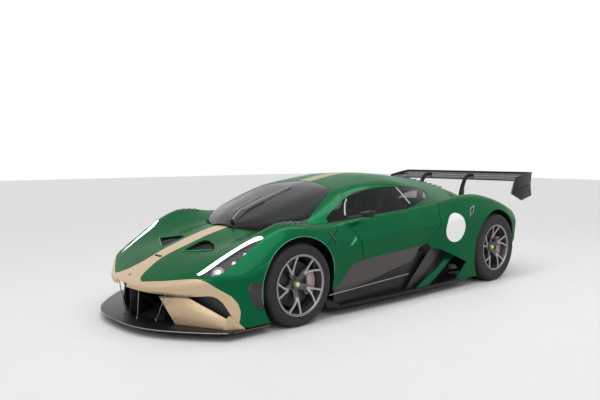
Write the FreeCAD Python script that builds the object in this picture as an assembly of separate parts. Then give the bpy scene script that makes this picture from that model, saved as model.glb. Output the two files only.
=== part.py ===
import FreeCAD, Part
import math
import os

# A closed track car with its engine in the middle, in millimetres.
# The nose points to -Y, the car's left side to +X, and the floor is at Z 0.
# Lengthwise stations are counted from the front axle of the car as first drawn, and
# place() turns them into Y, so they follow the overhangs and the wheelbase.

V = FreeCAD.Vector
ALONG_X = V(1, 0, 0)

SIZES = [
    ("front_overhang", 1100), ("wheelbase", 2695), ("rear_overhang", 805),
    ("body_width", 1930), ("roof_height", 1148),
    ("front_tyre_radius", 325), ("front_tyre_width", 270), ("front_wheel_x", 795),
    ("rear_tyre_radius", 355), ("rear_tyre_width", 310), ("rear_wheel_x", 789),
    ("rim_radius", 232), ("rim_wall", 9), ("rim_depth", 95),
    ("hub_radius", 46), ("hub_bore", 24), ("spoke_pairs", 5), ("spoke_width", 15),
    ("disc_radius", 178), ("disc_width", 34), ("caliper_height", 192),
    ("front_arch_radius", 375), ("rear_arch_radius", 400), ("arch_inner_x", 600),
    ("clam_wall", 12), ("door_wall", 46), ("roof_wall", 24), ("glass_wall", 6),
    ("shut_gap", 6), ("rear_shut_gap", 10), ("seat_gap", 0.3),
    ("floor_height", 70), ("floor_wall", 24), ("splitter_height", 55.7), ("splitter_wall", 14),
    ("wing_half_span", 880), ("plate_wall", 8), ("wing_strut_x", 300),
    ("seat_width", 430), ("seat_x", 330), ("wheel_rim_radius", 150),
    ("hinge_x", 908), ("hinge_radius", 5), ("hinge_ring", 10),
    ("eye_bore", 25), ("kingpin_radius", 10),
    ("engine_width", 560), ("engine_length", 620), ("engine_height", 430),
]

doc = FreeCAD.newDocument("track_car")
sheet = doc.addObject("Spreadsheet::Sheet", "sizes")
for number, (alias, value) in enumerate(SIZES, start=1):
    sheet.set("A%d" % number, alias)
    sheet.set("B%d" % number, str(value))
    sheet.setAlias("B%d" % number, alias)
doc.recompute()
S = {alias: float(getattr(sheet, alias)) for alias, value in SIZES}

NOSE = -(S["front_overhang"] + S["wheelbase"] + S["rear_overhang"]) / 2
FRONT_AXLE = NOSE + S["front_overhang"]
REAR_AXLE = FRONT_AXLE + S["wheelbase"]
TAIL = REAR_AXLE + S["rear_overhang"]
DRAWN_FRONT, DRAWN_BASE, DRAWN_REAR = 1100.0, 2695.0, 855.0
ACROSS = S["body_width"] / 1930
UP = S["roof_height"] / 1148
FLOOR_TOP = S["floor_height"] + S["floor_wall"]
SPLITTER_TOP = S["splitter_height"] + S["splitter_wall"]

# Body sections from nose to tail. Each row: station, centre z, then x and z of the valley
# beside the centre, the wing crest, the shoulder, the side crease, the waist and the foot.
BODY = [
    (-1030, 354, (30, 354), (56, 353), (78, 351), (88, 343), (86, 333), (78, 321)),
    (-1008, 372, (70, 371), (150, 366), (198, 358), (216, 345), (212, 330), (196, 314)),
    (-972, 391, (110, 389), (240, 379), (300, 366), (320, 346), (310, 326), (288, 306)),
    (-925, 412, (160, 408), (325, 396), (398, 382), (418, 355), (404, 322), (372, 300)),
    (-872, 438, (200, 433), (410, 417), (500, 399), (518, 366), (500, 320), (468, 298)),
    (-818, 465, (245, 458), (500, 440), (598, 419), (617, 378), (598, 316), (570, 297)),
    (-755, 497, (290, 488), (575, 468), (698, 442), (716, 394), (700, 345), (684, 308)),
    (-690, 527, (325, 515), (625, 498), (765, 466), (790, 418), (780, 360), (770, 312)),
    (-640, 548, (350, 534), (655, 525), (795, 492), (828, 428), (824, 340), (815, 265)),
    (-580, 570, (370, 554), (700, 560), (815, 525), (868, 432), (868, 250), (857, 150)),
    (-500, 598, (390, 580), (735, 605), (828, 565), (905, 455), (905, 190), (890, 80)),
    (-400, 632, (410, 612), (758, 662), (855, 612), (928, 490), (925, 180), (910, 80)),
    (-270, 672, (440, 650), (772, 733), (876, 680), (944, 550), (935, 180), (918, 80)),
    (-100, 712, (460, 688), (766, 797), (886, 752), (952, 625), (940, 180), (920, 80)),
    (50, 732, (480, 706), (762, 800), (888, 760), (952, 635), (940, 200), (915, 80)),
    (250, 746, (540, 732), (788, 772), (886, 742), (944, 628), (922, 290), (885, 80)),
    (450, 753, (600, 742), (815, 772), (884, 738), (938, 620), (895, 390), (870, 80)),
    (750, 760, (620, 748), (824, 795), (880, 765), (932, 603), (885, 438), (860, 80)),
    (1200, 768, (620, 755), (828, 822), (878, 785), (931, 628), (886, 468), (850, 80)),
    (1540, 780, (610, 765), (826, 838), (902, 735), (931, 652), (889, 490), (850, 80)),
    (1700, 790, (606, 775), (820, 850), (896, 768), (936, 664), (900, 480), (850, 80)),
    (1850, 805, (600, 788), (812, 868), (884, 804), (946, 690), (918, 430), (870, 80)),
    (2050, 824, (590, 806), (803, 897), (880, 868), (956, 705), (940, 330), (895, 80)),
    (2200, 838, (580, 822), (798, 915), (888, 884), (960, 712), (945, 300), (905, 80)),
    (2450, 848, (570, 832), (792, 919), (896, 882), (965, 716), (950, 290), (912, 90)),
    (2700, 835, (570, 815), (788, 882), (894, 840), (962, 700), (945, 290), (908, 100)),
    (2950, 800, (570, 778), (785, 822), (885, 780), (945, 655), (925, 330), (880, 200)),
    (3180, 760, (560, 735), (760, 750), (850, 710), (900, 605), (880, 380), (840, 330)),
]

# Cabin sections. Each row: station, centre z, then x and z of the crown, the rail and the belt.
CABIN = [
    (-145, 706, (20, 705), (40, 702), (55, 690)),
    (0, 780, (210, 768), (385, 728), (440, 690)),
    (150, 848, (300, 824), (545, 772), (640, 700)),
    (290, 902, (340, 878), (665, 806), (770, 730)),
    (500, 978, (350, 958), (640, 905), (826, 770)),
    (700, 1042, (350, 1026), (585, 990), (836, 780)),
    (875, 1083, (350, 1066), (590, 1026), (838, 790)),
    (1050, 1115, (350, 1098), (600, 1048), (838, 800)),
    (1250, 1143, (350, 1124), (602, 1060), (836, 812)),
    (1450, 1148, (350, 1128), (598, 1056), (832, 822)),
    (1650, 1136, (345, 1114), (582, 1032), (822, 836)),
    (1950, 1098, (335, 1076), (545, 985), (750, 862)),
    (2250, 1046, (325, 1026), (505, 945), (680, 850)),
    (2550, 985, (315, 966), (470, 895), (600, 820)),
    (2800, 925, (300, 906), (440, 846), (540, 780)),
]


def place(station):
    """Y of a station counted from the front axle of the car as first drawn."""
    if station < 0:
        return FRONT_AXLE + station * S["front_overhang"] / DRAWN_FRONT
    if station < DRAWN_BASE:
        return FRONT_AXLE + station * S["wheelbase"] / DRAWN_BASE
    return REAR_AXLE + (station - DRAWN_BASE) * S["rear_overhang"] / DRAWN_REAR


def row_at(rows, station):
    """The numbers of a table at any station, along a smooth curve through its rows."""
    last = len(rows) - 1
    k = 0
    while k < last - 1 and rows[k + 1][0] <= station:
        k += 1
    flat = []
    for row in (rows[max(k - 1, 0)], rows[k], rows[k + 1], rows[min(k + 2, last)]):
        flat.append([row[0], row[1]] + [item for pair in row[2:] for item in pair])
    before, here, there, after = flat
    span = there[0] - here[0]
    t = min(max((station - here[0]) / span, 0.0), 1.0)
    result = []
    for i in range(1, len(here)):
        slope_here = (there[i] - before[i]) / (there[0] - before[0]) * span
        slope_there = (after[i] - here[i]) / (after[0] - here[0]) * span
        result.append((2 * t ** 3 - 3 * t ** 2 + 1) * here[i]
                      + (t ** 3 - 2 * t ** 2 + t) * slope_here
                      + (3 * t ** 2 - 2 * t ** 3) * there[i]
                      + (t ** 3 - t ** 2) * slope_there)
    return result


def ring_at(rows, station, bulge=0.07):
    """Section points (x, z): left foot, over the centre, to the right foot.

    The steep runs get a rounding point half way; the level ones beside the centre stay straight.
    """
    row = row_at(rows, station)
    left = [(row[i] * ACROSS, row[i + 1] * UP) for i in range(1, len(row), 2)]
    corners = left[::-1] + [(0.0, row[0] * UP)] + [(-x, z) for x, z in left]
    points = [corners[0]]
    last = len(corners) - 1
    level_runs = last // 6
    for k in range(1, last + 1):
        (x0, z0), (x1, z1) = corners[k - 1], corners[k]
        level = last // 2 - level_runs < k <= last // 2 + level_runs
        if 1 < k < last and not level:
            (xa, za), (xb, zb) = corners[k - 2], corners[k + 1]
            points.append(((x0 + x1) / 2 + bulge * (x0 + x1 - xa - xb) / 2,
                           (z0 + z1) / 2 + bulge * (z0 + z1 - za - zb) / 2))
        points.append((x1, z1))
    return points


def inset(points, wall):
    """The points moved inwards by the wall, mitred at each corner."""
    normals = []
    for (x0, z0), (x1, z1) in zip(points, points[1:]):
        length = math.hypot(x1 - x0, z1 - z0)
        normals.append(((z1 - z0) / length, (x0 - x1) / length))
    moved = []
    for k, (x, z) in enumerate(points):
        a = normals[max(k - 1, 0)]
        b = normals[min(k, len(normals) - 1)]
        nx, nz = a[0] + b[0], a[1] + b[1]
        reach = 2 * wall / max(nx * nx + nz * nz, 0.5)
        moved.append((x - nx * reach, z - nz * reach))
    return moved


THINNEST = 0.13


def flat_face(corners):
    return Part.Face(Part.makePolygon(corners + corners[:1]))


def is_flat(p, q, r, s):
    normal = (q - p).cross(r - p)
    return normal.Length > 1e-6 and abs(normal.dot(s - p)) / normal.Length < 1e-7


def faceted(rings):
    """A closed solid with flat facets through rings of equally many points."""
    faces = []
    count = len(rings[0])
    for near, far in zip(rings, rings[1:]):
        for k in range(count):
            p, q = near[k], near[(k + 1) % count]
            r, s = far[(k + 1) % count], far[k]
            if is_flat(p, q, r, s):
                faces.append(flat_face([p, q, r, s]))
            elif (p - r).Length < (q - s).Length:
                faces.append(flat_face([p, q, r]))
                faces.append(flat_face([p, r, s]))
            else:
                faces.append(flat_face([p, q, s]))
                faces.append(flat_face([q, r, s]))
    faces.append(flat_face(rings[0]))
    faces.append(flat_face(rings[-1]))
    shell = Part.makeShell(faces)
    shell.sewShape()
    solid = Part.makeSolid(shell)
    if solid.Volume < 0:
        solid.reverse()
    return solid


def skin(rows, stations, wall, first=0, last=None, sink=0.0):
    """A wall of even thickness on part of the section, between the first and last stations."""
    rings = []
    for station in stations:
        points = ring_at(rows, station)
        height = max(z for x, z in points) - points[0][1]
        outer = inset(points, sink) if sink else points
        inner = inset(points, min(wall, THINNEST * height) + sink)
        stop = len(points) if last is None else last + 1
        ring = outer[first:stop] + inner[first:stop][::-1]
        rings.append([V(x, place(station), z) for x, z in ring])
    return faceted(rings)


def core(rows, stations, wall, floor=None):
    """The space inside a wall, taken straight down to the floor if there is one."""
    rings = []
    for station in stations:
        points = inset(ring_at(rows, station), wall) if wall else ring_at(rows, station)
        if floor is not None:
            points = [(points[0][0], floor)] + points + [(points[-1][0], floor)]
        rings.append([V(x, place(station), z) for x, z in points])
    return faceted(rings)


def at(x, station, z):
    """A point of the car as first drawn, spread to the width and the height now asked for."""
    return V(x * ACROSS, place(station), z * UP)


def side_prism(points, x_from, x_to):
    """A prism across the car from points (station, z)."""
    face = flat_face([V(x_from * ACROSS, place(s), z * UP) for s, z in points])
    return face.extrude(V((x_to - x_from) * ACROSS, 0, 0))


def plan_prism(points, z_from, z_to):
    """A prism upwards from points (x, station)."""
    face = flat_face([V(x * ACROSS, place(s), z_from * UP) for x, s in points])
    return face.extrude(V(0, 0, (z_to - z_from) * UP))


def block(x0, x1, s0, s1, z0, z1):
    """A box between two values of x, two stations and two heights, as drawn."""
    near, far = at(x0, s0, z0), at(x1, s1, z1)
    return Part.makeBox(far.x - near.x, far.y - near.y, far.z - near.z, near)


def drum(radius, x0, x1, y, z):
    return Part.makeCylinder(radius, x1 - x0, V(x0, y, z), ALONG_X)


def many_sided(radius, x, sides):
    """A ring of points round the X axis."""
    return [V(x, radius * math.cos(2 * math.pi * k / sides), radius * math.sin(2 * math.pi * k / sides))
            for k in range(sides)]


def turned(profile, sides):
    """A solid round the X axis from points (radius, x), with flat facets."""
    return faceted([many_sided(radius, x, sides) for radius, x in profile])


def post(radius, height, base, sides=12):
    """An upright bar with flat facets."""
    face = flat_face([base + V(p.y, p.z, 0) for p in many_sided(radius, 0, sides)])
    return face.extrude(V(0, 0, height))


def tube(points, radius, reference, sides=10):
    """A bent bar of even thickness with flat facets; no run may lie along the reference."""
    rings = []
    for k, point in enumerate(points):
        ahead_of, back_of = points[min(k + 1, len(points) - 1)], points[max(k - 1, 0)]
        run = V(ahead_of - back_of).normalize()
        across = run.cross(reference).normalize()
        upwards = run.cross(across).normalize()
        ring = []
        for j in range(sides):
            angle = 2 * math.pi * j / sides
            ring.append(point + across * (radius * math.cos(angle)) + upwards * (radius * math.sin(angle)))
        rings.append(ring)
    return faceted(rings)


def mirrored(shape):
    return shape.mirror(V(0, 0, 0), ALONG_X)


NODES = []


def add(label, shape):
    """A node made by the functions above, at its place in the car."""
    feature = doc.addObject("Part::Feature", label)
    feature.Label = label
    feature.Shape = shape
    NODES.append(feature)
    return feature


def add_each(stem, left_shape):
    """Two nodes, one for each side, because they move by themselves."""
    add(stem + "_left", left_shape)
    add(stem + "_right", mirrored(left_shape))


def add_both(label, left_shape):
    """One node with a solid on each side."""
    add(label, Part.makeCompound([left_shape, mirrored(left_shape)]))


def steps(start, end, count):
    return [start + (end - start) * k / count for k in range(count + 1)]


# Wheels. Each row: name, side, axle, middle of the tread, tyre radius and width.
TYRE_SIDES = 28
HUB_SIDES = 12
AXLES = {
    "front": (FRONT_AXLE, S["front_wheel_x"], S["front_tyre_radius"], S["front_tyre_width"]),
    "rear": (REAR_AXLE, S["rear_wheel_x"], S["rear_tyre_radius"], S["rear_tyre_width"]),
}
WHEELS = [("fl", 1, "front"), ("fr", -1, "front"), ("rl", 1, "rear"), ("rr", -1, "rear")]


def tyre(radius, width, rim_radius):
    half = width / 2
    profile = [(rim_radius + 12, half - 6), ((rim_radius + radius) / 2, half), (radius - 12, half - 8),
               (radius, half - 38)]
    whole = turned([(r, x) for r, x in profile] + [(r, -x) for r, x in profile[::-1]], TYRE_SIDES)
    bore = turned([(rim_radius, -half - 1), (rim_radius, half + 1)], TYRE_SIDES)
    return whole.cut(bore)


def rim(width, rim_radius):
    """A wheel with pairs of forked spokes and a single nut, outer face towards +X."""
    half = width / 2
    wall = S["rim_wall"]
    lip = rim_radius - S["seat_gap"]
    barrel = turned([(lip, -half + 8), (lip, half - 8)], TYRE_SIDES)
    hollow = turned([(lip - wall, -half), (lip - wall - 14, -half + 50), (lip - wall - 14, half - 46),
                     (lip - wall, half)], TYRE_SIDES)
    back_x = half - S["rim_depth"]
    face_x = half - 30
    hub = turned([(S["hub_radius"], back_x), (S["hub_radius"], face_x - 18),
                  (S["hub_radius"] * 0.8, face_x - 4), (S["hub_radius"] * 0.8, half - 12)], HUB_SIDES)
    pieces = [hub]
    reach = lip - wall - 6
    pairs = int(S["spoke_pairs"])
    for k in range(pairs):
        for lean in (-1, 1):
            pieces.append(spoke(k * 360.0 / pairs, lean, face_x, back_x, half, reach))
    shape = barrel.cut(hollow).multiFuse(pieces).removeSplitter()
    return shape.cut(drum(S["hub_bore"], -half, face_x - 26, 0, 0))


def spoke(turn, lean, face_x, back_x, half, reach):
    """One arm of a forked pair, from the hub to the lip."""
    wide = S["spoke_width"]
    angle = math.radians(18 * lean)
    root = V(0, 9 * lean, S["hub_radius"] * 0.7)
    tip = V(0, reach * math.sin(angle), reach * math.cos(angle))
    across = V(0, wide / 2, 0)
    sections = []
    for point, front, back, size in ((root, face_x - 8, back_x + 14, 0.9), (tip, half - 16, half - 52, 1.0)):
        a, b = point - across * size, point + across * size
        ring = [V(back, a.y, a.z), V(front, a.y, a.z), V(front, b.y, b.z), V(back, b.y, b.z)]
        sections.append(ring)
    arm = faceted(sections)
    arm.rotate(V(0, 0, 0), ALONG_X, turn)
    return arm


for corner_name, side, axle_name in WHEELS:
    axle_y, tread, radius, width = AXLES[axle_name]
    disc_face = width / 2 - S["rim_depth"] - S["seat_gap"]
    brake = turned([(S["disc_radius"], disc_face - S["disc_width"]), (S["disc_radius"], disc_face)], TYRE_SIDES)
    brake = brake.cut(turned([(S["hub_bore"] + 8, -width), (S["hub_bore"] + 8, width)], HUB_SIDES))
    for stem, shape in (("tyre_", tyre(radius, width, S["rim_radius"])),
                        ("rim_", rim(width, S["rim_radius"])), ("brake_disc_", brake)):
        placed = shape if side > 0 else mirrored(shape)
        placed.translate(V(side * tread, axle_y, radius))
        add(stem + corner_name, placed)


CARRIER = S["hub_bore"] + 24
POST_HALF = 150


def upright(axle_name):
    """The upright with its stub axle; the front one turns on a kingpin."""
    axle_y, tread, radius, width = AXLES[axle_name]
    disc_back = tread + width / 2 - S["rim_depth"] - S["seat_gap"] - S["disc_width"]
    stub = drum(S["hub_bore"] - S["seat_gap"], disc_back - 20, tread + width / 2 - 60, axle_y, radius)
    carrier = turned([(CARRIER, disc_back - 66), (CARRIER, disc_back - 6)], HUB_SIDES)
    carrier.translate(V(0, axle_y, radius))
    pieces = [stub, Part.makeBox(44, 64, 2 * POST_HALF, V(disc_back - 60, axle_y - 32, radius - POST_HALF))]
    if axle_name == "front":
        pieces.append(Part.makeCylinder(S["kingpin_radius"], 2 * POST_HALF + 56,
                                        V(disc_back - 38, axle_y, radius - POST_HALF - 28)))
    return carrier.multiFuse(pieces).removeSplitter()


def caliper(axle_name):
    """The caliper, which straddles the disc behind the axle."""
    axle_y, tread, radius, width = AXLES[axle_name]
    disc_face = tread + width / 2 - S["rim_depth"] - S["seat_gap"]
    disc_back = disc_face - S["disc_width"]
    half = S["caliper_height"] / 2
    reach = S["disc_radius"] + 22
    outline = [(108, -half), (reach * 0.88, -half), (reach * 0.95, -half * 0.62), (reach, -half * 0.2),
               (reach, half * 0.2), (reach * 0.95, half * 0.62), (reach * 0.88, half), (108, half), (122, 0)]
    face = flat_face([V(disc_back - 26, y, z) for y, z in outline])
    body = face.extrude(V(S["disc_width"] + 52, 0, 0))
    slot = turned([(S["disc_radius"] + 4, disc_back - 4), (S["disc_radius"] + 4, disc_face + 4)], TYRE_SIDES)
    body = body.cut(slot)
    mount = Part.makeBox(26, 76, 80, V(disc_back - 56, 32 + S["seat_gap"], -40))
    arm = Part.makeBox(40, 30, 80, V(disc_back - 56, 92, -40))
    body = body.multiFuse([mount, arm]).removeSplitter()
    room = CARRIER + 1
    body = body.cut(turned([(room, disc_back - 70), (room, disc_back)], HUB_SIDES))
    body.translate(V(0, axle_y, radius))
    return body


add_each("front_upright", upright("front"))
add_both("rear_uprights", upright("rear"))
add_each("front_caliper", caliper("front"))
add_both("rear_calipers", caliper("rear"))

# Body panels
FOOT, WAIST, SIDE, SHOULDER, CREST = 0, 1, 3, 5, 7
GAP = S["shut_gap"] / 2
REAR_GAP = S["rear_shut_gap"] / 2
WIDE = 1200
nose_stations = [-1030, -1008, -972, -925, -872, -818, -755, -690, -640, -580, -500, -400, -270, -100, 50,
                 250, 450, 740]
tail_stations = [1520, 1680, 1850, 2020, 2180, 2340, 2500, 2700, 2880, 3030, 3180]
cabin_stations = [row[0] for row in CABIN]
cabin_core = core(CABIN, cabin_stations, S["roof_wall"], 40)
lower_body = core(BODY, nose_stations[10:] + [1100] + tail_stations, -S["seat_gap"], 40)

front_shut = [(560, 900), (560, 745), (614, 669), (660, 600), (720, 520), (742, 437), (742, 400)]
rear_shut = [(1790, 1000), (1835, 865), (1766, 770), (1716, 620), (1640, 500), (1600, 470)]
door_outline = [(s + GAP, z) for s, z in front_shut] + [(s - REAR_GAP, z) for s, z in rear_shut[::-1]]
ahead = side_prism([(s - GAP, z) for s, z in front_shut] + [(742 - GAP, 0), (-1200, 0), (-1200, 900)],
                   -WIDE, WIDE)
behind = side_prism([(s, z) for s, z in rear_shut] + [(1500, 470), (1500, 0), (3400, 0), (3400, 1000)],
                    -WIDE, WIDE)
inside_shut = side_prism(door_outline, 0, WIDE)


def arch(axle_name, radius):
    """The two wheel openings of an axle."""
    axle_y, tread, wheel_radius, width = AXLES[axle_name]
    hole = turned([(radius, S["arch_inner_x"]), (radius, WIDE)], TYRE_SIDES)
    hole.translate(V(0, axle_y, wheel_radius))
    return hole.fuse(mirrored(hole))


lamp_outline = [(640, -738), (700, -712), (785, -668), (822, -610), (842, -500), (818, -274), (790, -290)]
vent_outline = [(262, -640), (478, -490), (272, -488)]
outlet_outline = [(-488, 392), (-352, 398), (-364, 200), (-380, 192), (-437, 215), (-476, 330)]

clam = skin(BODY, nose_stations, S["clam_wall"])
clam = clam.common(ahead).cut(cabin_core)
clam = clam.cut(arch("front", S["front_arch_radius"]))
clam = clam.cut(side_prism([(100, 0), (100, 236), (405, 236), (620, 418), (742, 442), (742, 0)], -WIDE, WIDE))
clam = clam.cut(block(-WIDE, WIDE, -1200, 100, 0, SPLITTER_TOP + S["seat_gap"]))
cuts = []
for outline, low, high in ((lamp_outline, 436, 800), (vent_outline, 480, 800)):
    cuts.append(plan_prism(outline, low, high))
cuts.append(side_prism(outlet_outline, 860, 1000))
for cut in cuts:
    clam = clam.cut(cut).cut(mirrored(cut))
HINGE = 545
HINGE_LEVELS = (564, 622)
HINGE_REACH = (180, 132)
HINGE_HEIGHT = 20
HINGE_LUG = 12
HINGE_TOP = HINGE_LEVELS[1] + HINGE_HEIGHT
hinge_hole = Part.makeCylinder(S["hinge_radius"] + S["seat_gap"], 200, at(S["hinge_x"], HINGE, 500))
pocket_base, pocket_top = at(S["hinge_x"], HINGE, HINGE_LEVELS[0] - 15), at(0, HINGE, HINGE_TOP + 15)
pocket = post(S["hinge_ring"] + 6, pocket_top.z - pocket_base.z, pocket_base)
clam = clam.cut(pocket).cut(mirrored(pocket))
add("front_clam", clam)

intake_outline = [(1656, 444), (1810, 411), (2165, 262), (2017, 70), (1300, 70)]
rear = skin(BODY, tail_stations, S["clam_wall"]).common(behind).cut(cabin_core)
rear = rear.cut(arch("rear", S["rear_arch_radius"]))
rear = rear.cut(side_prism([(1480, 0), (1480, 490), (1656, 444), (1810, 411), (2165, 262), (2020, 120),
                            (2020, 0)], -WIDE, WIDE))
rear = rear.cut(block(-WIDE, WIDE, 1400, 3400, 0, FLOOR_TOP))
add("rear_clam", rear)

door = skin(BODY, steps(520, 1880, 6), S["door_wall"], WAIST, CREST).common(inside_shut)
pillar = [(1380, 790), (1380, 836), (1552, 864), (1722, 909), (1790, 952), (1835 - REAR_GAP, 865),
          (1820 - REAR_GAP, 790)]
door_pillar = skin(CABIN, steps(1350, 1850, 4), 20, 0, 2).common(side_prism(pillar, 0, WIDE)).common(inside_shut)
door = door.fuse(door_pillar)
for low, reach in zip(HINGE_LEVELS, HINGE_REACH):
    knee_x, knee_s, heel_s = -0.95 * reach, 0.35 * reach, 1.35 * reach
    arm_path = [(-5, -9), (knee_x - 12, knee_s - 2), (-34, heel_s + 6), (-34, heel_s + 80), (-18, heel_s + 80),
                (-18, heel_s - 8), (knee_x + 12, knee_s + 2), (5, 9)]
    arm = plan_prism([(S["hinge_x"] + x, HINGE + s) for x, s in arm_path], low, low + HINGE_HEIGHT)
    door = door.fuse(arm)
knuckle = post(S["hinge_ring"], (HINGE_TOP - HINGE_LEVELS[0]) * UP, at(S["hinge_x"], HINGE, HINGE_LEVELS[0]))
door = door.fuse(knuckle).cut(hinge_hole).removeSplitter()
add_each("door", door)

lugs_x, lug_s = S["hinge_x"] - 116, 18
hinge_posts = [block(lugs_x, lugs_x + 24, HINGE - 2 * lug_s, HINGE - lug_s, 415 + S["seat_gap"],
                     HINGE_TOP + HINGE_LUG)]
for level in (HINGE_LEVELS[0] - HINGE_LUG - S["seat_gap"], HINGE_TOP + S["seat_gap"]):
    hinge_posts.append(block(lugs_x, S["hinge_x"], HINGE - 2 * lug_s, HINGE, level, level + HINGE_LUG))
    hinge_posts.append(post(S["hinge_ring"], HINGE_LUG * UP, at(S["hinge_x"], HINGE, level)))
pin_base = at(S["hinge_x"], HINGE, HINGE_LEVELS[0] - HINGE_LUG)
pin_top = at(S["hinge_x"], HINGE, HINGE_TOP + HINGE_LUG)
pin = Part.makeCylinder(S["hinge_radius"], pin_top.z - pin_base.z, pin_base)
add_both("door_hinges", pin.multiFuse(hinge_posts).removeSplitter())

windscreen_outline = [(-800, -200), (-690, 270), (-560, 610), (-500, 700), (0, 850), (500, 700),
                      (560, 610), (690, 270), (800, -200)]
windscreen_cut = plan_prism(windscreen_outline, 600, 1300)
side_opening = [(340, 700), (356, 798), (735, 990), (900, 1020), (1200, 1052), (1450, 1036), (1650, 1003),
                (1790, 972), (1838, 865), (1838, 700)]
roof = skin(CABIN, [s for s in cabin_stations if s > -20], S["roof_wall"])
roof = roof.cut(windscreen_cut).cut(side_prism(side_opening, -WIDE, WIDE)).cut(lower_body)
deck_outline = [(-330, 1900), (330, 1900), (270, 2760), (-270, 2760)]
deck_cut = plan_prism(deck_outline, 600, 1300)
roof = roof.cut(deck_cut)
add("roof", roof)

add("windscreen", skin(CABIN, cabin_stations[:9], S["glass_wall"], sink=1).common(windscreen_cut).cut(lower_body))
side_glass = skin(CABIN, steps(300, 1850, 8), S["glass_wall"], 0, 2, sink=3)
door_pane = [(604, 770), (606, 812), (788, 992), (900, 1014), (1200, 1046), (1450, 1030), (1650, 996),
             (1782, 952), (1722, 909), (1552, 864), (1380, 836), (1380, 770)]
add_each("door_glass", side_glass.common(side_prism(door_pane, 0, WIDE)).cut(lower_body))
front_pane = [(356, 798), (735, 990), (782, 998), (596, 812), (594, 740), (340, 700)]
add_both("quarter_glass", side_glass.common(side_prism(front_pane, 0, WIDE)).cut(lower_body))

deck = skin(CABIN, steps(1880, 2780, 3), S["roof_wall"], sink=2).common(deck_cut)
for station in range(1970, 2700, 120):
    slot = plan_prism([(-250, station), (250, station), (250, station + 60), (-250, station + 60)], 600, 1300)
    deck = deck.cut(slot)
add("engine_cover", deck)

# Lower sides, floor, splitter
panel = skin(BODY, steps(400, 2080, 6), S["clam_wall"], FOOT, WAIST)
panel = panel.common(side_prism([(410, 236), (622, 416), (742, 434), (1500, 482), (1656, 438), (1300, 96),
                                 (1300, FLOOR_TOP), (410, FLOOR_TOP)], 0, WIDE))
add_both("side_panels", panel)

duct_rings = [((862, 1316), (874, 1668), 440), ((826, 1640), (832, 1800), 424), ((690, 2150), (720, 2200), 414)]
ramp = faceted([[at(low[0], low[1], FLOOR_TOP + S["seat_gap"]), at(high[0], high[1], top),
                 at(high[0] - 12, high[1], top), at(low[0] - 12, low[1], FLOOR_TOP + S["seat_gap"])]
                for low, high, top in duct_rings])
ramp = ramp.cut(block(600, 820.3, 400, 1640, 0, 420))
add_both("intake_walls", ramp)

strake = faceted([[at(905, 1440, FLOOR_TOP), at(905, 1620, FLOOR_TOP), at(885, 1620, FLOOR_TOP),
                   at(885, 1440, FLOOR_TOP)],
                  [at(890, 1830, 240), at(890, 1930, 240), at(868, 1930, 240), at(868, 1830, 240)],
                  [at(840, 1960, 360), at(840, 2130, 330), at(818, 2130, 330), at(818, 1960, 360)]])
add_both("strakes", strake)

floor_half = [(560, -380), (560, 440), (900, 470), (920, 1200), (905, 2230), (560, 2270), (560, 3050)]
floor_outline = floor_half + [(-x, s) for x, s in floor_half[::-1]]
add("floor", plan_prism(floor_outline, S["floor_height"], FLOOR_TOP))

splitter_half = [(160, -1094), (330, -1062), (500, -985), (660, -868), (800, -745), (900, -640),
                 (900, -275), (560, -275), (560, -300)]
splitter_outline = [(0, -1100)] + splitter_half + [(-x, s) for x, s in splitter_half[::-1]]
add("splitter", plan_prism(splitter_outline, S["splitter_height"], SPLITTER_TOP))

# Nose: cheeks, grilles, divider and stays
cheek = faceted([[at(450, -822, SPLITTER_TOP), at(300, -868, 252), at(300, -854, 252), at(450, -808, SPLITTER_TOP)],
                 [at(610, -740, SPLITTER_TOP), at(520, -758, 280), at(520, -744, 280), at(610, -726, SPLITTER_TOP)],
                 [at(808, -632, SPLITTER_TOP), at(808, -606, 142), at(808, -592, 142), at(808, -618, SPLITTER_TOP)]])
add_both("cheeks", cheek)

grille = faceted([[at(337, -740, SPLITTER_TOP), at(337, -760, 290), at(337, -748, 290), at(337, -728, SPLITTER_TOP)],
                  [at(600, -640, SPLITTER_TOP), at(600, -660, 300), at(600, -648, 300), at(600, -628, SPLITTER_TOP)],
                  [at(848, -520, SPLITTER_TOP), at(848, -530, 400), at(848, -518, 400), at(848, -508, SPLITTER_TOP)]])
add_both("front_grilles", grille)

DUCT_BACK = -628
duct = [block(-330, 330, DUCT_BACK - 12, DUCT_BACK, SPLITTER_TOP, 330),
        block(-5, 5, -960, DUCT_BACK - 12, SPLITTER_TOP, 320)]
for side in (-1, 1):
    edges = sorted((side * 330, side * 336))
    duct.append(block(edges[0], edges[1], -740, DUCT_BACK, SPLITTER_TOP, 290))
add("nose_duct", duct[0].multiFuse(duct[1:]).removeSplitter())
stay_ends = (at(269, -880, SPLITTER_TOP + S["seat_gap"]), at(325, -880, 318))
stay = faceted([[end + V(p.y, p.z, 0) for p in many_sided(5, 0, 8)] for end in stay_ends])
add_both("splitter_stays", stay)

# Lamps
lamp_prism = plan_prism(lamp_outline, 437, 900)
lamp_skin = [-755, -690, -640, -560, -450, -340, -250]
lens = skin(BODY, lamp_skin, 4).common(lamp_prism)
add_both("headlamp_lenses", lens)
bowl = skin(BODY, lamp_skin, 34, sink=10).common(lamp_prism)
add_both("headlamps", bowl)

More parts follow.
